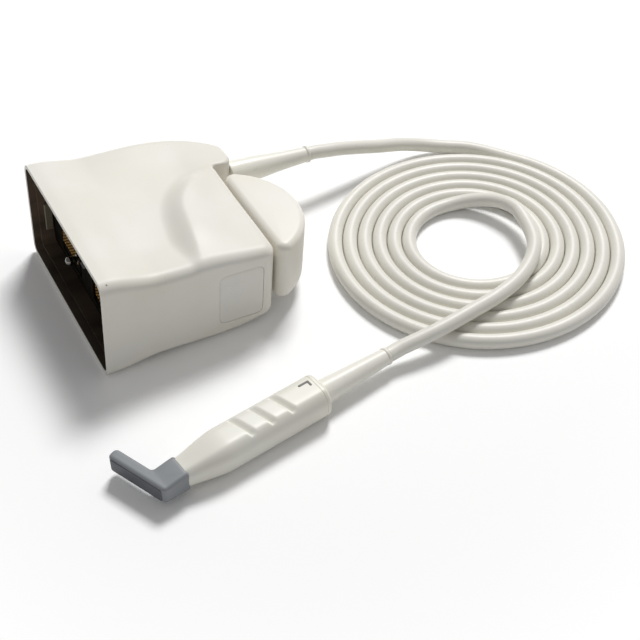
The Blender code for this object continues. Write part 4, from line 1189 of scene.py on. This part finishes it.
@dataclass(frozen=True)
class ContactField:
    """One half's array of plated contacts, standing on a dark carrier."""

    side: Side
    offset: float = 19.9
    width: float = 19.4
    height: float = 29.4
    back: float = 10.3
    base: float = 9.4
    front: float = 8.8
    columns: int = 10
    rows: int = 15
    margin: float = 2.0
    bottom: float = -9.6
    top: float = 12.8
    pad_width: float = 0.9
    pad_height: float = 0.6
    taper: float = 0.16
    sunk: float = 0.05
    head: float = 0.15

    def pads(self) -> list[Skin]:
        """Each contact as a small frustum: foot, shoulder, a narrower head ring and its face.

        Returns:
            One skin for each contact.
        """
        across = np.linspace(-0.5, 0.5, self.columns) * (self.width - self.margin)
        y, z = self.side.value * self.offset + across, np.linspace(self.bottom, self.top, self.rows)
        corner = np.array([(-0.5, -0.5), (0.5, -0.5), (0.5, 0.5), (-0.5, 0.5)])
        size = np.array([self.pad_width, self.pad_height])
        foot, shoulder = self.base + self.sunk, self.front + self.head
        pad = np.stack([np.column_stack([np.full(4, depth), corner * scale]) for depth, scale in (
            (foot, 0.0), (foot, size), (shoulder, size),
            (self.front, size - 2 * self.taper), (self.front, 0.0))])
        return [Skin(CONNECTOR.put(pad + np.array([0.0, a, b]))) for b in z for a in y]

    def carrier(self) -> Array:
        """Dark plate under the contacts, with softened edges.

        Returns:
            Grid in the connector's directions.
        """
        outline = rounded_box(self.width / 2, self.height / 2, 0.8, 5, 3.0)
        profile = round_rim(0.15, (self.back - self.base) / 2, 3, 2)
        slab = pillow(outline, profile, (0.0, 0.0), 4)
        x = slab[..., 2] + (self.back + self.base) / 2
        return np.stack([x, slab[..., 0] + self.side.value * self.offset, slab[..., 1]], axis=-1)

    def build(self) -> None:
        """Carrier and contacts, which stand for the CAD comb."""
        where = self.side.name.lower()
        grid = CONNECTOR.put(self.carrier())
        add_piece("contact_carrier_" + where, grid, DARK_INSULATOR, Body.PROBE)
        node = "contact_field_" + where
        add_piece("contact_pads_" + where, self.pads(), CONTACT_GOLD_PAINTED_SHADE, Body.PROBE, [node], 30.0)


@dataclass(frozen=True)
class Screw:
    """Small pan-head screw in the contact block's face."""

    place: Pair
    face: float = 9.0
    sunk: float = 0.2
    radius: float = 1.1
    height: float = 0.5
    fullness: float = 0.6

    def build(self, name: str) -> bpy.types.Object:
        """Dome whose radius is a power of the cosine of an angle, and its height the sine.

        Args:
            name: The piece's name.

        Returns:
            The piece.
        """
        dome = [
            (self.face - self.height * math.sin(a), self.radius * math.cos(a) ** self.fullness)
            for a in np.linspace(0.0, QUARTER_TURN, 7)[:-1]
        ]
        foot = self.face + self.sunk
        profile = [(foot, 0.0), (foot, self.radius), *dome, (self.face - self.height, 0.0)]
        return add_piece(name, CONNECTOR.put(lathe(profile, 24, self.place)), STEEL, Body.PROBE)


@dataclass(frozen=True)
class DriveShaft:
    """Lock shaft in the mouth: a bright ball and ring on a dark stem, its collar and the shank."""

    ball: float = 1.9
    tip: float = 0.4
    stem: float = 1.35
    overlap: float = 0.25
    ring: tuple[Pair, ...] = (
        (5.2, 0.0), (5.2, 1.5), (5.35, 1.85), (5.75, 1.85), (5.9, 1.5), (5.9, 0.0))
    collar_from: float = 7.25
    collar: tuple[Pair, ...] = ((1.5, 0.0), (1.1, 0.45), (0.0, 0.55))
    shank: float = 3.0
    end: float = 81.0

    def build(self) -> None:
        """Turn ball, ring, and stem with shank; the stem stands for the CAD shaft and pin."""
        centre = self.tip + self.ball
        ball = [
            (centre - self.ball * math.cos(a), self.ball * math.sin(a))
            for a in np.linspace(0.0, HALF_TURN, 19)[:-1]
        ]
        ball.append((centre + self.ball, 0.0))
        add_piece("shaft_ball", LOCK.put(lathe(ball, 32)), CHROME_PAINTED_DARK, Body.LOCK)
        add_piece("shaft_ring", LOCK.put(lathe(self.ring, 32)), CHROME_PAINTED_DARK, Body.LOCK, (), 30.0)
        front = centre + math.sqrt(self.ball**2 - self.stem**2) - self.overlap
        collar = [(self.collar_from - before, self.stem + out) for before, out in self.collar]
        shaft = [
            (front, 0.0), (front, self.stem), *collar,
            (self.collar_from + 0.02, self.shank), (self.end, self.shank), (self.end, 0.0),
        ]
        nodes = ["actuator_shaft", "cross_pin"]
        add_piece("shaft_stem", LOCK.put(lathe(shaft, 40)), DARK_STEEL, Body.LOCK, nodes, 30.0)


@dataclass(frozen=True)
class LockLever:
    """D-shaped lever behind the housing: a straight front and one long arc behind."""

    front: float = 77.3
    depth: float = 22.4
    far_reach: float = 13.8
    near_reach: float = 46.0
    half_height: float = 14.6
    rim: float = 3.0
    corner: float = 4.0
    crown: float = 0.25
    heart: float = 0.42

    def outline(self) -> Outline:
        """The long arc with a small arc at each end, tangent to it and to the front.

        Returns:
            The outline, in the lock's directions.
        """
        half = (self.far_reach + self.near_reach) / 2
        middle = (self.far_reach - self.near_reach) / 2
        radius = (half**2 + self.depth**2) / (2 * self.depth)
        centre = self.front + self.depth - radius
        blend_x = self.front + self.corner
        blend_y = math.sqrt((radius - self.corner) ** 2 - (blend_x - centre) ** 2)
        reach = math.atan2(blend_y, blend_x - centre)
        return Outline((
            Arc(blend_x, middle - blend_y, self.corner, -HALF_TURN, -reach, 24),
            Arc(centre, middle, radius, -reach, reach, 64),
            Arc(blend_x, middle + blend_y, self.corner, reach, HALF_TURN, 24),
        ), 1.0)

    def build(self) -> bpy.types.Object:
        """Slab with deeply rounded rims and faintly crowned faces.

        Returns:
            The piece.
        """
        middle = (self.far_reach - self.near_reach) / 2
        profile = round_rim(self.rim, self.half_height - self.crown, 12, 14)
        heart = (self.front + self.heart * self.depth, middle)
        grid = LOCK.put(pillow(self.outline(), profile, heart, 16, self.crown))
        return add_piece("lever_grip", grid, LEVER_PLASTIC, Body.LOCK, ["lock_lever"], 50.0)


# Cable and its strain reliefs


@dataclass(frozen=True)
class StrainRelief:
    """Moulded sleeve that narrows from its root to a small ring at its tip.

    The stations are (share of the length, radius) pairs of the taper, and sense is the way
    that the sleeve runs along x from its start.
    """

    name: str
    node: str
    placing: Placing
    centre: Pair
    start: float
    sense: float
    length: float
    stations: tuple[Pair, ...]
    neck_radius: float
    neck_reach: float
    tip_radius: float
    ring: float = 1.5
    root_round: float = 0.5
    tip_round: float = 0.45

    def profile(self) -> list[Pair]:
        """(distance, radius) pairs: the neck, a rounded root, the eased taper and the ring.

        Returns:
            Pairs from the neck's end to the tip, in millimetres.
        """
        shares, radii = zip(*self.stations)
        share = np.linspace(0.0, 1.0, 40)[1:]
        reach, r, t = self.length - self.ring, self.root_round, self.tip_round
        tip, end = self.tip_radius, self.length - t
        back, neck_r = -self.neck_reach, self.neck_radius
        root = [
            (r * (1 - math.cos(a)), radii[0] - r + r * math.sin(a))
            for a in np.linspace(0, QUARTER_TURN, 5)
        ]
        taper = zip(r + (reach - r) * share, Eased(shares, radii)(share))
        ring = [(reach + 0.08, tip - 0.12), (reach + 0.2, tip), (end, tip)]
        ring += [
            (end + t * math.sin(a), tip - t * (1 - math.cos(a)))
            for a in np.linspace(0.2, QUARTER_TURN, 5)
        ]
        neck = [(back, 0.0), (back, neck_r), (0.0, neck_r)]
        return [*neck, *root, *taper, *ring, (self.length, 0.0)]

    def build(self) -> bpy.types.Object:
        """Turn the profile about the cable's axis."""
        pairs = [(self.start + self.sense * along, r) for along, r in self.profile()]
        grid = self.placing.put(lathe(pairs, 56, self.centre))
        return add_piece(self.name, grid, RELIEF_JACKET, Body.PROBE, [self.node], 50.0)


@dataclass(frozen=True)
class Cable:
    """The whole cable: out of the connector, six turns of a flat coil, over them to the handset.

    Its lengths and places are in metres, in the row frame; the coil's places are in turns, from
    the far side of its centre.
    """

    diameter: float = 0.0065
    length: float = 2.0
    point_spacing: float = 0.0035
    start: Triple = (0.07311, 0.05999, 0.02156)
    lead: tuple[Triple, ...] = (
        (0.07635, 0.05999, 0.02134), (0.08173, 0.05999, 0.0202), (0.08973, 0.05999, 0.0186),
        (0.09973, 0.06009, 0.0158), (0.11253, 0.06019, 0.0120), (0.12393, 0.06019, 0.0090),
        (0.13460, 0.05860, 0.0060), (0.14400, 0.05490, 0.0042), (0.15690, 0.04750, 0.00325),
    )
    coil_centre: Pair = (0.11863, -0.01161)
    coil_right: Pair = (0.8792, -0.4765)
    coil_away: Pair = (0.4765, 0.8792)
    coil_radius: float = 0.0669
    coil_pitch: float = 0.00669
    coil_from: float = 0.06
    coil_to: float = 5.92
    coil_height: float = 0.00325
    rise_to: float = 6.16
    over_height: float = 0.0103
    tail: tuple[Triple, ...] = (
        (0.13853, -0.03001, 0.0103), (0.13043, -0.03981, 0.0103), (0.11873, -0.04761, 0.0103),
        (0.10503, -0.05241, 0.0103), (0.08783, -0.05551, 0.0103), (0.07113, -0.05761, 0.0098),
        (0.06173, -0.05781, 0.0089), (0.05273, -0.05761, 0.0079), (0.04969, -0.05784, 0.0075),
    )
    end: Triple = (0.04648, -0.05834, 0.0075)

    def coil(self) -> Array:
        """Spiral whose radius falls by one pitch a turn; it rises at its inner end with an ease.

        Returns:
            Points of its centreline, in metres.
        """
        turns = np.linspace(self.coil_from, self.rise_to, 220)
        angle = (QUARTER_TURN - FULL_TURN * turns)[:, None]
        radius = self.coil_radius - self.coil_pitch * turns
        right, away = np.array(self.coil_right), np.array(self.coil_away)
        flat = radius[:, None] * (np.cos(angle) * right + np.sin(angle) * away)
        rise = ease(turns, self.coil_to, self.rise_to - self.coil_to)
        height = self.coil_height + (self.over_height - self.coil_height) * rise
        return np.column_stack([flat + np.array(self.coil_centre), height])

    def route(self) -> Array:
        """Centreline from the connector's strain relief to the handset's, in metres."""
        knots = np.concatenate([[self.start], self.lead, self.coil(), self.tail, [self.end]])
        return smooth_route(knots, self.point_spacing)

    def build(self) -> bpy.types.Object:
        """Tube along the route.

        Returns:
            The piece.
        """
        path = self.route()
        LOG.info("cable centreline %.4f m", run_length(path)[-1])
        nodes = ["cable_lead", "cable_coil", "cable_tail"]
        grid = tube(path, self.diameter / 2, 20)
        piece = add_piece("cable", grid, CABLE_JACKET, Body.PROBE, nodes, 60.0)
        return piece


# Handset


@dataclass(frozen=True)
class Handle:
    """Handle shell: rounded bar with flats above and below, grip grooves and a tapered front.

    The closed inset is more than any section's radius, so it draws a ring to a point.
    """

    length: float = 62.0
    half_width: float = 8.5
    half_thickness: float = 7.5
    corner: float = 7.6
    taper_start: float = 42.5
    neck_half_width: float = 5.6
    neck_half_thickness: float = 4.8
    softness: float = 0.34
    groove_first: float = 16.6
    groove_pitch: float = 9.4
    groove_count: int = 3
    groove_slant: float = 0.29
    groove_ramp: float = 3.2
    groove_steep: float = 1.0
    groove_depth: float = 1.15
    groove_half_length: float = 4.6
    groove_end: float = 2.2
    groove_above: Pair = (3.0, 2.5)
    closed: float = 99.0
    rear_edge: float = 0.2
    cap_thickness: float = 2.7
    cap_round: float = 1.5
    seam_inset: float = 0.16

    def section(self, theta: Array) -> Array:
        """Polar radius of the section.

        The nearer of a rounded square's edge and the flats' line, blended by a soft minimum:
        less the softness times the logarithm of the summed exponentials.

        Args:
            theta: Angles from the y axis.

        Returns:
            The radii.
        """
        c, s = np.abs(np.cos(theta)), np.abs(np.sin(theta))
        core = self.half_width - self.corner
        major, minor = np.maximum(c, s), np.minimum(c, s)
        straight = self.half_width / major
        m = core * (c + s)
        curved = m + np.sqrt(np.maximum(m**2 - 2 * core**2 + self.corner**2, 0.0))
        square = np.where(minor / major * self.half_width <= core, straight, curved)
        flat = self.half_thickness / np.maximum(s, 1e-3)
        k = self.softness
        return -k * np.logaddexp(-square / k, -flat / k)

    def bar(self, x: Array, inset: Array, steps: int = 144) -> Array:
        """Skin of the bar: the section at each x, less an inset, scaled to width and thickness.

        Args:
            x: Stations along the handle.
            inset: How far each station's ring is drawn in; the section's radius or more closes it.
            steps: Points round the section.

        Returns:
            Grid of points, stations by steps by xyz.
        """
        theta = circle(steps)
        radius = np.maximum(self.section(theta)[None] - inset[:, None], 0.0)

        def scaled(full: float, neck: float) -> Array:
            """Share of the full size left at each station."""
            return (Eased((self.taper_start, self.length), (full, neck))(x) / full)[:, None]

        y = radius * np.cos(theta) * scaled(self.half_width, self.neck_half_width)
        z = radius * np.sin(theta) * scaled(self.half_thickness, self.neck_half_thickness)
        return np.stack([np.repeat(x[:, None], steps, 1), y, z], axis=-1)

    def grooves(self, x: Array, y: Array) -> Array:
        """Depth of the slanted grip grooves: an eased ramp down, a short steep rise, closed ends.

        Args:
            x: Places along the handle.
            y: Places across it, in the same shape.

        Returns:
            The depths, in the same shape.
        """
        depth = np.zeros_like(x)
        for k in range(self.groove_count):
            t = x - (self.groove_first + k * self.groove_pitch - self.groove_slant * y)
            ramp, steep = ease(1 + t / self.groove_ramp), ease(1 - t / self.groove_steep)
            depth = np.maximum(depth, np.where(t < 0, ramp, steep))
        ends = 1 - ease(np.abs(y), self.groove_half_length, self.groove_end)
        return self.groove_depth * depth * ends

    def shell(self) -> Array:
        """Handle from its rear edge to the neck, with the grooves sunk in its upper side.

        Returns:
            Grid in the handset's directions.
        """
        edge, turn = self.rear_edge, np.linspace(0.0, QUARTER_TURN, 5)
        along = np.linspace(edge, self.length, 190)[1:]
        x = np.concatenate([[0.0], edge * (1 - np.cos(turn)), along, [self.length]])
        inset = np.concatenate([
            [self.closed], edge * (1 - np.sin(turn)), np.zeros(len(along)), [self.closed]])
        grid = self.bar(x, inset)
        upper = ease(grid[..., 2], *self.groove_above)
        grid[..., 2] -= self.grooves(grid[..., 0], grid[..., 1]) * upper
        return grid

    def cap(self) -> Array:
        """End cap behind the shell: crisp at the seam, well rounded behind.

        Returns:
            Grid in the handset's directions.
        """
        back, r, seam = self.cap_thickness, self.cap_round, self.seam_inset
        turn = np.linspace(0.0, QUARTER_TURN, 9)
        x = -np.concatenate([[0.0, 0.0, 0.3, 0.42, 0.7], back - r + r * np.sin(turn), [back]])
        inset = np.concatenate([
            [self.closed, seam, seam, 0.0, 0.0], r * (1 - np.cos(turn)), [self.closed]])
        return self.bar(x, inset)

    def build(self) -> None:
        """Shell and end cap."""
        for name, grid, node in (
            ("handle_body", self.shell(), "handle_shell"),
            ("handle_cap", self.cap(), "handle_end_cap"),
        ):
            add_piece(name, HANDSET.put(grid), HANDLE_PLASTIC, Body.PROBE, [node], 45.0)


@dataclass(frozen=True)
class OrientationMark:
    """Angled mark on the handle's upper flat, near its rear end."""

    top: float = 7.5
    proud: float = 0.12
    half_thickness: float = 0.3
    width: float = 0.95
    rear: float = 0.9
    long_arm: float = 5.0
    short_arm: float = 3.0
    side: float = -3.2
    corner: float = 0.4
    inner_corner: float = 0.3

    def build(self) -> bpy.types.Object:
        """Angle piece with softened edges, let into the flat.

        Returns:
            The piece.
        """
        x, y, w, r = self.rear, self.side, self.width, self.corner
        corners = [
            (x, y, r), (x + self.long_arm, y, r), (x + self.long_arm, y + w, r),
            (x + w, y + w, self.inner_corner), (x + w, y + self.short_arm, r),
            (x, y + self.short_arm, r),
        ]
        outline = Outline(corner_arcs(corners, 4), 0.5)
        profile = round_rim(0.1, self.half_thickness, 3, 2)
        slab = pillow(outline, profile, (x + w / 2, y + w / 2), 4)
        slab[..., 2] += self.top + self.proud - self.half_thickness
        return add_piece("orientation_mark", HANDSET.put(slab), MARK_PLASTIC, Body.PROBE)


@dataclass(frozen=True)
class Head:
    """Grey head: a flat neck and a foot that leans forward, with the lens on its front face."""

    start: float = 61.2
    corner_x: float = 71.0
    lean: float = math.radians(16.8)
    foot_length: float = 28.0
    foot_thickness: float = 5.0
    foot_half_height: float = 4.1
    neck_half_width: float = 5.6
    neck_end_half_width: float = 4.9
    neck_half_thickness: float = 4.8
    heel: float = 6.2
    plan_corner: float = 1.9
    root_corner: float = 1.3
    inner_corner: float = 1.6
    edge: float = 1.45
    heart: Pair = (1.4, -1.6)
    lens_length: float = 25.2
    lens_height: float = 6.4
    lens_proud: float = 0.4
    lens_thickness: float = 1.2
    lens_corner: float = 1.0
    lens_edge: float = 0.3
    lens_crown: float = 0.1

    def directions(self) -> tuple[Array, Array]:
        """Unit vectors from heel to toe and out of the lens."""
        c, s = math.cos(self.lean), math.sin(self.lean)
        return np.array([s, -c]), np.array([c, s])

    def face_ends(self) -> tuple[Array, Array]:
        """Heel and toe corners of the front face."""
        along, ahead = self.directions()
        front = np.array([self.corner_x, -self.neck_end_half_width]) + ahead * self.foot_thickness
        heel = front + along * (front[1] - self.heel) / math.cos(self.lean)
        return heel, heel + along * self.foot_length

    def outline(self) -> Outline:
        """Plan of neck and foot, with the inner corner hollow.

        Returns:
            The outline, in the handset's directions.
        """
        _, ahead = self.directions()
        heel, toe = self.face_ends()
        plan = [(float(x), float(y)) for x, y in (toe - ahead * self.foot_thickness, toe, heel)]
        corners = [
            (self.start, self.neck_half_width, self.root_corner),
            (self.start, -self.neck_half_width, self.root_corner),
            (self.corner_x, -self.neck_end_half_width, self.inner_corner),
            *((x, y, self.plan_corner) for x, y in plan),
        ]
        return Outline(corner_arcs(corners, 10), 0.6)

    def body(self) -> Array:
        """Slab whose half-height eases from the neck's to the foot's along the handle.

        Returns:
            Grid in the handset's directions.
        """
        full = self.neck_half_thickness
        heart = (self.corner_x + self.heart[0], self.heart[1])
        grid = pillow(self.outline(), round_rim(self.edge, full, 8, 8), heart, 14)
        height = Eased((self.start, self.corner_x), (full, self.foot_half_height))(grid[..., 0])
        grid[..., 2] *= height / full
        return grid

    def lens(self) -> Array:
        """Lens: a rounded oblong, crowned towards its middle, upright in the front face.

        Returns:
            Grid in the handset's directions.
        """
        along, ahead = self.directions()
        heel, toe = self.face_ends()
        half = self.lens_thickness / 2
        outline = rounded_box(self.lens_length / 2, self.lens_height / 2, self.lens_corner, 6, 0.8)
        profile = round_rim(self.lens_edge, half, 4, 2)
        slab = pillow(outline, profile, (0.0, 0.0), 8, self.lens_crown)
        depth = slab[..., 2] + self.lens_proud - half - self.lens_crown
        plan = (heel + toe) / 2 + slab[..., 0, None] * along + depth[..., None] * ahead
        return np.concatenate([plan, slab[..., 1, None]], axis=-1)

    def build(self) -> None:
        """Head and lens."""
        for name, grid, finish, node in (
            ("head_body", self.body(), HEAD_PLASTIC, "head_shell"),
            ("lens_face", self.lens(), LENS_RUBBER, "acoustic_lens"),
        ):
            add_piece(name, HANDSET.put(grid), finish, Body.PROBE, [node], 50.0)


# Studio


def grey(value: float) -> Triple:
    """Grey of a value."""
    return (value, value, value)


@dataclass(frozen=True)
class Studio:
    """Pale floor, soft overhead light and the camera."""

    camera_place: Triple = (-0.13817, -0.34131, 0.3588)
    camera_tilt: float = 45.47
    camera_turn: float = -28.45
    lens: float = 67.5
    sensor: float = 36.0
    floor_size: float = 8.0
    floor_colour: float = 0.90
    floor_seen: float = 1.08
    floor_far: float = 1.45
    floor_horizon: float = 4.5
    far_reach: Pair = (0.26, 0.14)
    horizon_reach: Pair = (2.2, 1.6)
    middle: float = 0.05
    sky: float = 0.30
    key_power: float = 70.0
    key_size: float = 0.85
    key_place: Triple = (1.29, 1.27, 2.40)

    def add_camera(self) -> None:
        """Camera at the photograph's place and angle."""
        data = bpy.data.cameras.new("camera")
        data.lens, data.sensor_width = self.lens, self.sensor
        data.clip_start, data.clip_end = 0.01, 50.0
        made = bpy.data.objects.new("camera", data)
        made.location = self.camera_place
        made.rotation_euler = (math.radians(self.camera_tilt), 0.0, math.radians(self.camera_turn))
        bpy.context.scene.camera = show(made)

    def add_floor(self) -> None:
        """Floor that lights the object as pale grey and is seen as white where it is lit."""
        half = self.floor_size / 2
        line = np.linspace(-half, half, 5)
        grid = np.stack([*np.meshgrid(line, line), np.zeros((5, 5))], axis=-1)
        mesh = bpy.data.meshes.new("floor")
        mesh.from_pydata(grid.reshape(-1, 3), [], Skin(grid, False).faces())
        floor = show(bpy.data.objects.new("floor", mesh))
        made = bpy.data.materials.new("floor_paper")
        made.use_nodes = True
        tree = Tree(made.node_tree)
        path = tree.node("ShaderNodeLightPath")
        camera, gloss, clear = (
            Signal(tree, path.outputs[ray])
            for ray in ("Is Camera Ray", "Is Glossy Ray", "Is Transmission Ray")
        )
        clamped = {"operation": "ADD", "use_clamp": True}
        shown = tree.out("ShaderNodeMath", clamped, {0: camera + gloss, 1: clear})
        reach = ((tree.axis(0) - self.middle) ** 2.0 + tree.axis(1) ** 2.0) ** 0.5
        white = tree.blend(reach.over(*self.far_reach), grey(self.floor_seen), grey(self.floor_far))
        white = tree.blend(reach.over(*self.horizon_reach), white, grey(self.floor_horizon))
        colour = tree.blend(shown, grey(self.floor_colour), white)
        diffuse = tree.out("ShaderNodeBsdfDiffuse", {}, {"Color": colour})
        tree.node("ShaderNodeOutputMaterial", {}, {"Surface": diffuse})
        mesh.materials.append(made)

    def add_light(self) -> None:
        """One large lamp above and behind, turned to the object, and an even pale sky."""
        data = bpy.data.lights.new("key", "AREA")
        data.shape, data.size, data.energy = "SQUARE", self.key_size, self.key_power
        lamp = bpy.data.objects.new("key", data)
        x, y, z = np.array(self.key_place) - np.array([self.middle, 0.0, 0.0])
        lamp.location = self.key_place
        lamp.rotation_euler = (math.atan2(math.hypot(x, y), z), 0.0, math.atan2(x, -y))
        show(lamp)
        world = bpy.data.worlds.new("sky")
        bpy.context.scene.world = world
        world.use_nodes = True
        tree = Tree(world.node_tree)
        seen = tree.out("ShaderNodeLightPath", {}, {}, "Is Camera Ray")
        strength = seen * (1.0 - self.sky) + self.sky
        sky = tree.out("ShaderNodeBackground", {}, {"Color": grey(1.0), "Strength": strength})
        tree.node("ShaderNodeOutputWorld", {}, {"Surface": sky})

    def build(self) -> None:
        """Camera, floor and light, under the Standard view transform."""
        bpy.context.scene.view_settings.view_transform = "Standard"
        self.add_camera()
        self.add_floor()
        self.add_light()


CARRIED_OVER: dict[str, Finish] = {
    "inner_shield": DARK_SHIELD, "contact_block": DARK_INSULATOR, "guide_key": KEY_PLASTIC,
    "interface_board": BOARD, "coax_loom": CABLE_JACKET, "cable_clamp": STEEL,
    "shaft_bush": BRASS, "lever_hub": STEEL, "shaft_collar": DARK_STEEL,
    "transducer_stack": CERAMIC, "flex_circuit": FILM, "handle_board": BOARD,
    "cable_ferrule": BRASS,
}


def dress_frame() -> None:
    """Give each CAD node that stays its better material."""
    for name, finish in CARRIED_OVER.items():
        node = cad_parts[name]
        node.data.materials.clear()
        node.data.materials.append(finish.material())
        LOG.info("%s: %s", name, finish.name)


def main() -> None:
    """Build the studio, then each sub-assembly, and report each piece."""
    logging.basicConfig(level=logging.INFO, format="%(name)s %(message)s")
    Studio().build()
    Cable().build()
    label = Label()
    Housing().build(label)
    label.build()
    for side in Side:
        ContactField(side).build()
    Screw((-5.6, 2.2)).build("block_screw_near")
    DriveShaft().build()
    LockLever().build()
    StrainRelief(
        "connector_relief", "connector_strain_relief", CONNECTOR, CABLE_OUTLET,
        start=86.3, sense=1.0, length=41.0,
        stations=((0.0, 6.0), (0.3, 5.6), (0.65, 4.4), (1.0, 3.5)),
        neck_radius=3.6, neck_reach=20.3, tip_radius=3.95).build()
    StrainRelief(
        "handset_relief", "handset_strain_relief", HANDSET, (0.0, 0.0),
        start=-3.0, sense=-1.0, length=34.0,
        stations=((0.0, 5.1), (0.35, 4.55), (0.7, 4.05), (1.0, 3.5)),
        neck_radius=3.6, neck_reach=12.0, tip_radius=3.75).build()
    Handle().build()
    OrientationMark().build()
    Head().build()
    dress_frame()


if __name__ == "__main__":
    main()
